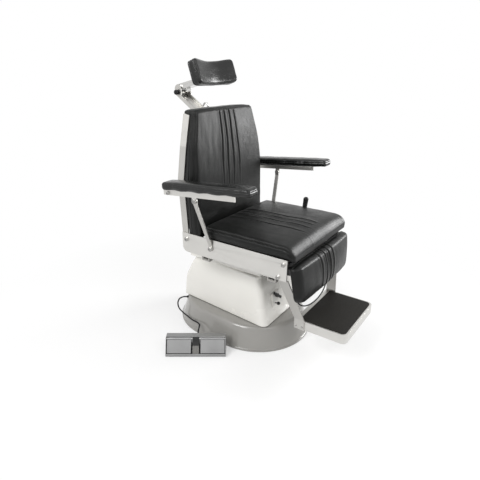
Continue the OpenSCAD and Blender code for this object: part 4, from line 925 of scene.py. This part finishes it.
def back_face(z):
    """The pad's front side, which leans back above the armrests."""
    if z < BACK_ARM_Z:
        return blend_between(-66, -70, share(z, BACK_LOW, BACK_ARM_Z))
    return -70 - 30 * share(z, BACK_ARM_Z, BACK_TOP) ** 1.4


def back_form(z, y, w):
    widths = (BACK_WIDE, BACK_WIDE, BACK_BEND_W, BACK_TOP_W)
    half = mean_around(lambda shift: through(z + shift, RAIL_HEIGHTS, widths), RAIL_EASE) + 0.5
    b = y / BACK_WIDE
    rear, face = back_rear(z), back_face(z)
    t = w / BACK_DEEP
    body = blend_between(rear, face, t)
    level = 2 * share(z, BACK_LOW, BACK_TOP) - 1
    crown = 7 * (1 - abs(b) ** 2.6) * smooth(t * 1.5) * (1 - abs(level) ** 5)
    fit = half / BACK_WIDE * (0.985 + 0.015 * smooth(t * 2.5))
    drop = BACK_DROP * abs(b) ** 4 * share(z, BACK_ARM_Z, BACK_TOP) ** 4
    drift = 5 * (1 - share(z, 700, 1040)) * bell(y + 40, 110) * smooth(t)
    return body + crown - 1.5 * smooth(t), (y - drift) * fit, z - drop


def back_relief(z, y, w):
    on_face = w >= BACK_DEEP - SKIN_EDGE
    on_top = z >= BACK_TOP - SKIN_EDGE
    total = 0.0
    if on_face or on_top:
        hang = smooth((z - 640) / 300) * smooth((BACK_TOP - 4 - z) / 22) if on_face else 0.0
        for place, depth in BACK_FOLDS:
            total += fold_relief(y - place - 1.5 * math.sin(z * 0.03 + place), depth * hang)
        total += 1.1 * hang * wrinkle(z, y, w, (0.012, 0.05, 0.03), 3.3)
        total += 1.6 * wrinkle(z, y, w, (0.010, 0.012, 0.02), 7.9)
        low = smooth((700 - z) / 120)
        total += 1.4 * low * wrinkle(z, y, w, (0.035, 0.012, 0.02), 6.1)
    if not on_face and w > SKIN_EDGE:
        waver = 0.0
        if not on_top:
            waver = 9 * (1 - share(z, 800, BACK_TOP)) + 2.0 * math.sin(z * 0.045)
        total += welt_relief(w - BACK_WELT + waver, z + y) + seam_relief(w - BACK_SEAM, z + y)
        total += 1.6 * math.sin(math.pi * share(w, BACK_SEAM, BACK_WELT - waver))
        total += wrinkle(z, y, w, (0.02, 0.02, 0.03), 2.6)
    return total


pad("back_pad", (BACK_LOW, -BACK_WIDE, 0), (BACK_TOP, BACK_WIDE, BACK_DEEP), (10, 8, 3),
    (12, 8, 13), 6.5, back_form, back_relief,
    ([RAIL_TOP_Z + 1.8], BACK_PLACES, [BACK_WELT, BACK_WELT - 14, BACK_SEAM]),
    "back", ["back_cushion"])

# %% [markdown]
# ### Calf pad
# The calf pad hangs below the seat's front edge, tapers downwards and bulges forward. Its folds
# are drawn tight at the middle, so the leather between them gathers, and a welt runs round its
# side.

# %% Calf pad
CALF_TOP = (393, 495)
CALF_LEAN = math.radians(90 - 4.5)
CALF_LONG = 177
CALF_WIDE = 259
CALF_WRAP = 8
CALF_NARROW = 240
CALF_CORNER = 38
CALF_DEEP = 36
CALF_BULGE = 17
CALF_FOLDS = [(-76, 3.6), (-34, 5.0), (2, 5.4), (40, 4.2)]
CALF_PLACES = [place for place, _ in CALF_FOLDS]


def calf_form(u, v, w):
    t = share(u, 0, CALF_LONG)
    a, b = 2 * t - 1, v / CALF_WIDE
    turn = min(share(u, CALF_LONG - CALF_CORNER, CALF_LONG), 0.96)
    corner = CALF_CORNER * (1 - math.sqrt(1 - turn ** 2))
    fit = (blend_between(CALF_WIDE, CALF_NARROW, t) - corner) / CALF_WIDE
    front = share(w, 0, CALF_DEEP)
    crown = CALF_BULGE * (1 - abs(a) ** 2.2) * (1 - abs(b) ** 3) * front
    depth = 0.4 + w + crown - CALF_WRAP * (1 - t) * (1 - front)
    narrow = 1 - 0.035 * abs(b) ** 6
    down = CALF_LONG / 2 + (u - CALF_LONG / 2) * narrow
    drift = 10 * t * bell(v + 10, 100)
    return leaned(CALF_TOP, CALF_LEAN, down, depth, (v + drift) * fit)


def calf_relief(u, v, w):
    total = 0.0
    on_face = w >= CALF_DEEP - SKIN_EDGE
    at_end = u <= SKIN_EDGE or u >= CALF_LONG - SKIN_EDGE
    if on_face or at_end:
        fade = 1.0 if on_face else smooth(w / CALF_DEEP)
        for place, depth in CALF_FOLDS:
            weaker = 1 - 0.35 * share(u, 60, CALF_LONG)
            total += fold_relief(v - place, depth * fade * weaker)
        total += 3.0 * fade * wrinkle(u, v, w, (0.013, 0.055, 0.02), 8.4) * bell(v + 20, 95)
        total += 1.2 * wrinkle(u, v, w, (0.02, 0.014, 0.02), 1.2)
    if not on_face:
        total += welt_relief(w - 10, u + v, 1.8)
    return total


pad("calf_cover", (0, -CALF_WIDE, 0), (CALF_LONG, CALF_WIDE, CALF_DEEP), (16, 34, 4),
    (20, 34, 28), 5, calf_form, calf_relief, ((), CALF_PLACES, (28, 19, 10)), "seat",
    ["calf_pad"])

# %% [markdown]
# ### Armrest pads
# Two long pads lie on the steel bars. They are narrow, so only a slight crown shows, with a seam
# round the side and soft ends. The left one mirrors the right one's form and has wrinkles of its
# own.

# %% Armrest pads
ARM_PIVOT = (-164, 721)
ARM_TILT = math.radians(4.7)
ARM_START = -14
ARM_LONG = 448
ARM_HALF = 36
ARM_UP = 17.9
ARM_DEEP = 32
ARM_SEAM = 19
ARM_CENTRE = 325


def arm_pad_for(side, word):
    def form(u, v, w):
        a, b = 2 * share(u, 0, ARM_LONG) - 1, v / ARM_HALF
        up = ARM_UP + w + 4 * (1 - abs(b) ** 2.4) * (1 - abs(a) ** 8) * share(w, 0, ARM_DEEP)
        fit = (0.93 + 0.07 * smooth(w / ARM_DEEP * 2)) * (1 - 0.05 * abs(a) ** 14)
        return leaned(ARM_PIVOT, -ARM_TILT, ARM_START + u, up, side * (ARM_CENTRE + v * fit))

    def relief(u, v, w):
        total = wrinkle(u, v, w, (0.02, 0.03, 0.03), 3.7 + side)
        total += 1.5 * (1 - w / ARM_DEEP) * math.sin(u * 0.07)
        total += 0.5 * wrinkle(u, v, w, (0.07, 0.02, 0.02), 6.2 - side)
        if w < ARM_DEEP - SKIN_EDGE:
            total += seam_relief(w - ARM_SEAM, u + 2 * v, 1.3)
        ends = bell(u, 40) + bell(u - ARM_LONG, 40)
        return total - 1.6 * ends * abs(wrinkle(u, v, w, (0.08, 0.03, 0.05), 5.1))

    pad("armrest_pad_" + word, (0, -ARM_HALF, 0), (ARM_LONG, ARM_HALF, ARM_DEEP), (13, 11, 4),
        (16, 11, 14), 4.5, form, relief, ((), (), (ARM_SEAM,)), "armrest_" + word,
        ["arm_pad_" + word], worn_leather)


for side, word in SIDES:
    arm_pad_for(side, word)

# %% [markdown]
# ### Headrest pad
# The headrest pad is dished: its ends stand forward of the middle, and its top edge dips. It is
# drawn flat in its own frame, with its length down and its face outwards, then leaned into place.

# %% Headrest pad
HEAD_TOP = (-161, 1260)
HEAD_LEAN = math.radians(90 - 19)
HEAD_TALL = 108
HEAD_HALF = 136
HEAD_THICK = 54
HEAD_DISH = 28
HEAD_DIP = 7
HEAD_SEAMS = (41, 12)


def head_form(u, v, w):
    a, b = 2 * u / HEAD_TALL - 1, v / HEAD_HALF
    dish = math.cos(math.pi / 2 * clamped(b, -1, 1))
    t = w / HEAD_THICK
    bulge = 4 * (1 - abs(a) ** 2.5) * (1 - abs(b) ** 4) * t
    depth = blend_between(-HEAD_THICK, -HEAD_DISH * dish, t) + bulge - 2 * t
    down = HEAD_TALL / 2 * (1 + a * (1 - 0.05 * abs(b) ** 6)) - HEAD_DIP * dish * min(a, 0)
    return leaned(HEAD_TOP, HEAD_LEAN, down, depth, v * (1 - 0.04 * abs(a) ** 6))


def head_relief(u, v, w):
    total = wrinkle(u, v, w, (0.02, 0.02, 0.02), 4.6)
    if w >= HEAD_THICK - SKIN_EDGE:
        total += 0.9 * wrinkle(u, v, w, (0.05, 0.016, 0.03), 7.7)
    else:
        total += seam_relief(w - HEAD_SEAMS[0], u + v, 1.5)
        total += seam_relief(w - HEAD_SEAMS[1], u + v, 1.2)
    return total


pad("headrest_cover", (0, -HEAD_HALF, 0), (HEAD_TALL, HEAD_HALF, HEAD_THICK), (14, 12, 5),
    (14, 12, 16), 4.5, head_form, head_relief, ((), (), HEAD_SEAMS), "head_pad", ["head_pad"],
    worn_leather)

# %% [markdown]
# ## Small parts
# Knobs and grips are turned. The clamp knob of the headrest has a grooved rim for the fingers.

# %% Headrest knob
KNOB_PLACE = (-358, -34.5, 1110)
KNOB_R = 11
KNOB_RIBS = 5
KNOB_PITCH = 2.4
knob_profile = [(0.3, 0), (3.0, 0.2), (3.0, 4.2), (9.6, 4.4), (10.6, 5.4)]
for k in range(KNOB_RIBS):
    rib = KNOB_PITCH * k
    knob_profile += [(KNOB_R, 6.4 + rib), (KNOB_R, 7.4 + rib), (10.4, 7.9 + rib), (10.4, 8.3 + rib)]
knob_profile += [(10.6, 19.2), (9.4, 20.4), (6.0, 20.9), (0.3, 21.0)]
turned("head_clamp_knob", knob_profile, KNOB_PLACE, (0, -1, 0), soft_black, "head_knob",
       ["head_knob"])

# %% [markdown]
# The recline lever's grip is a soft plastic sleeve with a rounded end and shallow grip rings.

# %% Lever grip
GRIP_START = (168, 277, 468)
GRIP_LEAN = math.radians(6)
GRIP_UP = 84
GRIP_R = 13
GRIP_RINGS = 7
GRIP_PITCH = 6
GRIP_DOME_Z = 55
GRIP_DOME_H = 11
grip_axis = Vector((math.sin(GRIP_LEAN), 0, math.cos(GRIP_LEAN)))
grip_profile = [(0.4, 0.2), (8.0, 0.6), (10.2, 2.4)]
for k in range(GRIP_RINGS):
    up = GRIP_PITCH * k
    grip_profile += [(10.8 + 0.2 * k, 5 + up), (11.6 + 0.19 * k, 6.5 + up),
                     (11.6 + 0.19 * k, 9.2 + up), (10.9 + 0.2 * k, 10.4 + up)]
grip_profile += [(GRIP_R, 50), (GRIP_R - 0.1, GRIP_DOME_Z)]
grip_profile += [(GRIP_R * math.cos(a), GRIP_DOME_Z + GRIP_DOME_H * math.sin(a))
                 for a in map(math.radians, (20, 40, 60, 75, 86))]
turned("grip_sleeve", grip_profile, Vector(GRIP_START) + grip_axis * GRIP_UP, grip_axis,
       soft_black, "recline_lever", ["lever_grip"])

# %% [markdown]
# Each pivot and bolt of the frame ends in a domed cap screw with a hexagon socket. The caps are
# turned, with six-sided points inside, and sit on the plain heads of the frame's bolts. The two
# small ones beside the tray are caps alone, on the leg arms.

# %% Cap screws
SOCKET_SIDES = 6
SOCKET_SHARE = 0.42


def cap_screw(name, x, y, z, radius, body, height=2.6):
    """A shallow domed cap on a head whose outer face is at y."""
    side = -1 if y < 0 else 1
    inner = radius * SOCKET_SHARE
    profile = [(radius, 0.1), (radius, 0.6), (radius * 0.93, height * 0.62),
               (radius * 0.74, height * 0.93), (inner * 1.25, height),
               (inner, height - 0.2, SOCKET_SIDES), (inner, 0.5, SOCKET_SIDES), (0.3, 0.4)]
    turned(name, profile, (x, y, z), (0, side, 0), cap_steel, body)


# Each of the seat's caps is its name, its place and its radius.
SEAT_CAPS = [("back", -146, 260, 488, 10), ("strut", -2, 266.5, 476, 10),
             ("leg_top", 363, 260, 497, 9), ("leg_low", 340, 260, 436, 9)]
TRAY_CAP_XS = (387, 417)
for label, x, y, z, radius in SEAT_CAPS:
    for side, word in SIDES:
        cap_screw("cap_" + label + "_" + word, x, side * y, z, radius, "seat")
for side, word in SIDES:
    cap_screw("cap_arm_" + word, -164, side * 340.6, 721, 7.5, "back", 2.0)
    cap_screw("cap_lug_" + word, -20, side * 337.6, 709, 10, "armrest_" + word, 2.2)
    for n, x in enumerate(TRAY_CAP_XS):
        cap_screw("cap_tray_%s_%d" % (word, n + 1), x, side * 166, 180 + n, 5, "seat", 2.2)

# %% [markdown]
# ## Floor, light and air
# The floor is pale and plain. Away from the chair it fades into pure white, as a studio sweep
# does, and near the chair it keeps the soft shadow. Camera, mirror and glass rays see it the same.

# %% Floor
FLOOR_HALF = 14
FLOOR_Z = -0.0004
FLOOR_GREY = 0.60
FLOOR_GLOW = 0.38
BOUNCE_GREY = 0.8
WHITE_FROM = 0.62
WHITE_AT = 1.5
floor_mesh = bpy.data.meshes.new("floor")
floor_mesh.from_pydata([(FLOOR_HALF * a, FLOOR_HALF * b, FLOOR_Z)
                        for a, b in ((-1, -1), (1, -1), (1, 1), (-1, 1))], [], [[0, 1, 2, 3]])
floor = linked("floor", floor_mesh)


def seen_rays(tree):
    """1 for camera, mirror and glass rays."""
    path = tree.nodes.new("ShaderNodeLightPath")
    total = value_node(tree, "MAXIMUM", path.outputs["Is Camera Ray"],
                       path.outputs["Is Glossy Ray"])
    return value_node(tree, "MAXIMUM", total, path.outputs["Is Transmission Ray"])


def matt_shader(tree, grey):
    made = tree.nodes.new("ShaderNodeBsdfDiffuse")
    made.inputs["Color"].default_value = (grey, grey, grey, 1)
    return made.outputs[0]


def glow_shader(tree, strength):
    made = tree.nodes.new("ShaderNodeEmission")
    made.inputs["Strength"].default_value = strength
    return made.outputs[0]


def joined(tree, kind, *sockets):
    """A node that adds or mixes shaders, fed in the order of its inputs."""
    made = tree.nodes.new(kind)
    for target, socket in zip(made.inputs, sockets):
        tree.links.new(socket, target)
    return made.outputs[0]


floor_paint = bpy.data.materials.new("floor_paint")
floor_paint.use_nodes = True
tree = floor_paint.node_tree
tree.nodes.clear()
position = tree.nodes.new("ShaderNodeNewGeometry").outputs["Position"]
reach = tree.nodes.new("ShaderNodeVectorMath")
reach.operation = "LENGTH"
tree.links.new(position, reach.inputs[0])
far = ramp_node(tree, reach.outputs["Value"], WHITE_FROM, WHITE_AT)
near_floor = joined(tree, "ShaderNodeAddShader", matt_shader(tree, FLOOR_GREY),
                    glow_shader(tree, FLOOR_GLOW))
seen_floor = joined(tree, "ShaderNodeMixShader", far, near_floor, glow_shader(tree, 1.0))
whole_floor = joined(tree, "ShaderNodeMixShader", seen_rays(tree),
                     matt_shader(tree, BOUNCE_GREY), seen_floor)
tree.links.new(whole_floor, tree.nodes.new("ShaderNodeOutputMaterial").inputs["Surface"])
floor_mesh.materials.append(floor_paint)

# %% [markdown]
# The air around gives an even light. Rays that are seen meet plain white there.

# %% World
AIR_LIGHT = 0.5
AIR_SEEN = 1.0
world = bpy.data.worlds.new("studio_air")
bpy.context.scene.world = world
world.use_nodes = True
tree = world.node_tree
background = tree.nodes["Background"]
background.inputs["Color"].default_value = (1.0, 1.0, 1.0, 1)
air = ramp_node(tree, seen_rays(tree), 0, 1, AIR_LIGHT, AIR_SEEN)
tree.links.new(air, background.inputs["Strength"])

# %% [markdown]
# Large soft lamps shape the chair: a key from the upper left in front and one from the right
# before the seat. A third stands beyond the chair and draws the sheen along the pads' rolls.

# %% Lamps
def soft_lamp(name, place, target, across, watts):
    data = bpy.data.lights.new(name, "AREA")
    data.shape = "RECTANGLE"
    data.size, data.size_y = across
    data.energy = watts
    lamp = linked(name, data)
    lamp.location = place
    lamp.rotation_euler = (Vector(target) - Vector(place)).to_track_quat("-Z", "Y").to_euler()


CHAIR_MIDDLE = (0, 0, 0.6)
soft_lamp("key_lamp", (-0.6, -2.8, 2.9), CHAIR_MIDDLE, (1.9, 1.7), 80)
soft_lamp("front_lamp", (2.3, -0.7, 2.7), CHAIR_MIDDLE, (2.0, 1.6), 20)
soft_lamp("sheen_lamp", (1.7, 2.4, 1.4), (0.2, 0, 0.6), (1.2, 0.9), 64)

bpy.context.scene.view_settings.view_transform = "Standard"
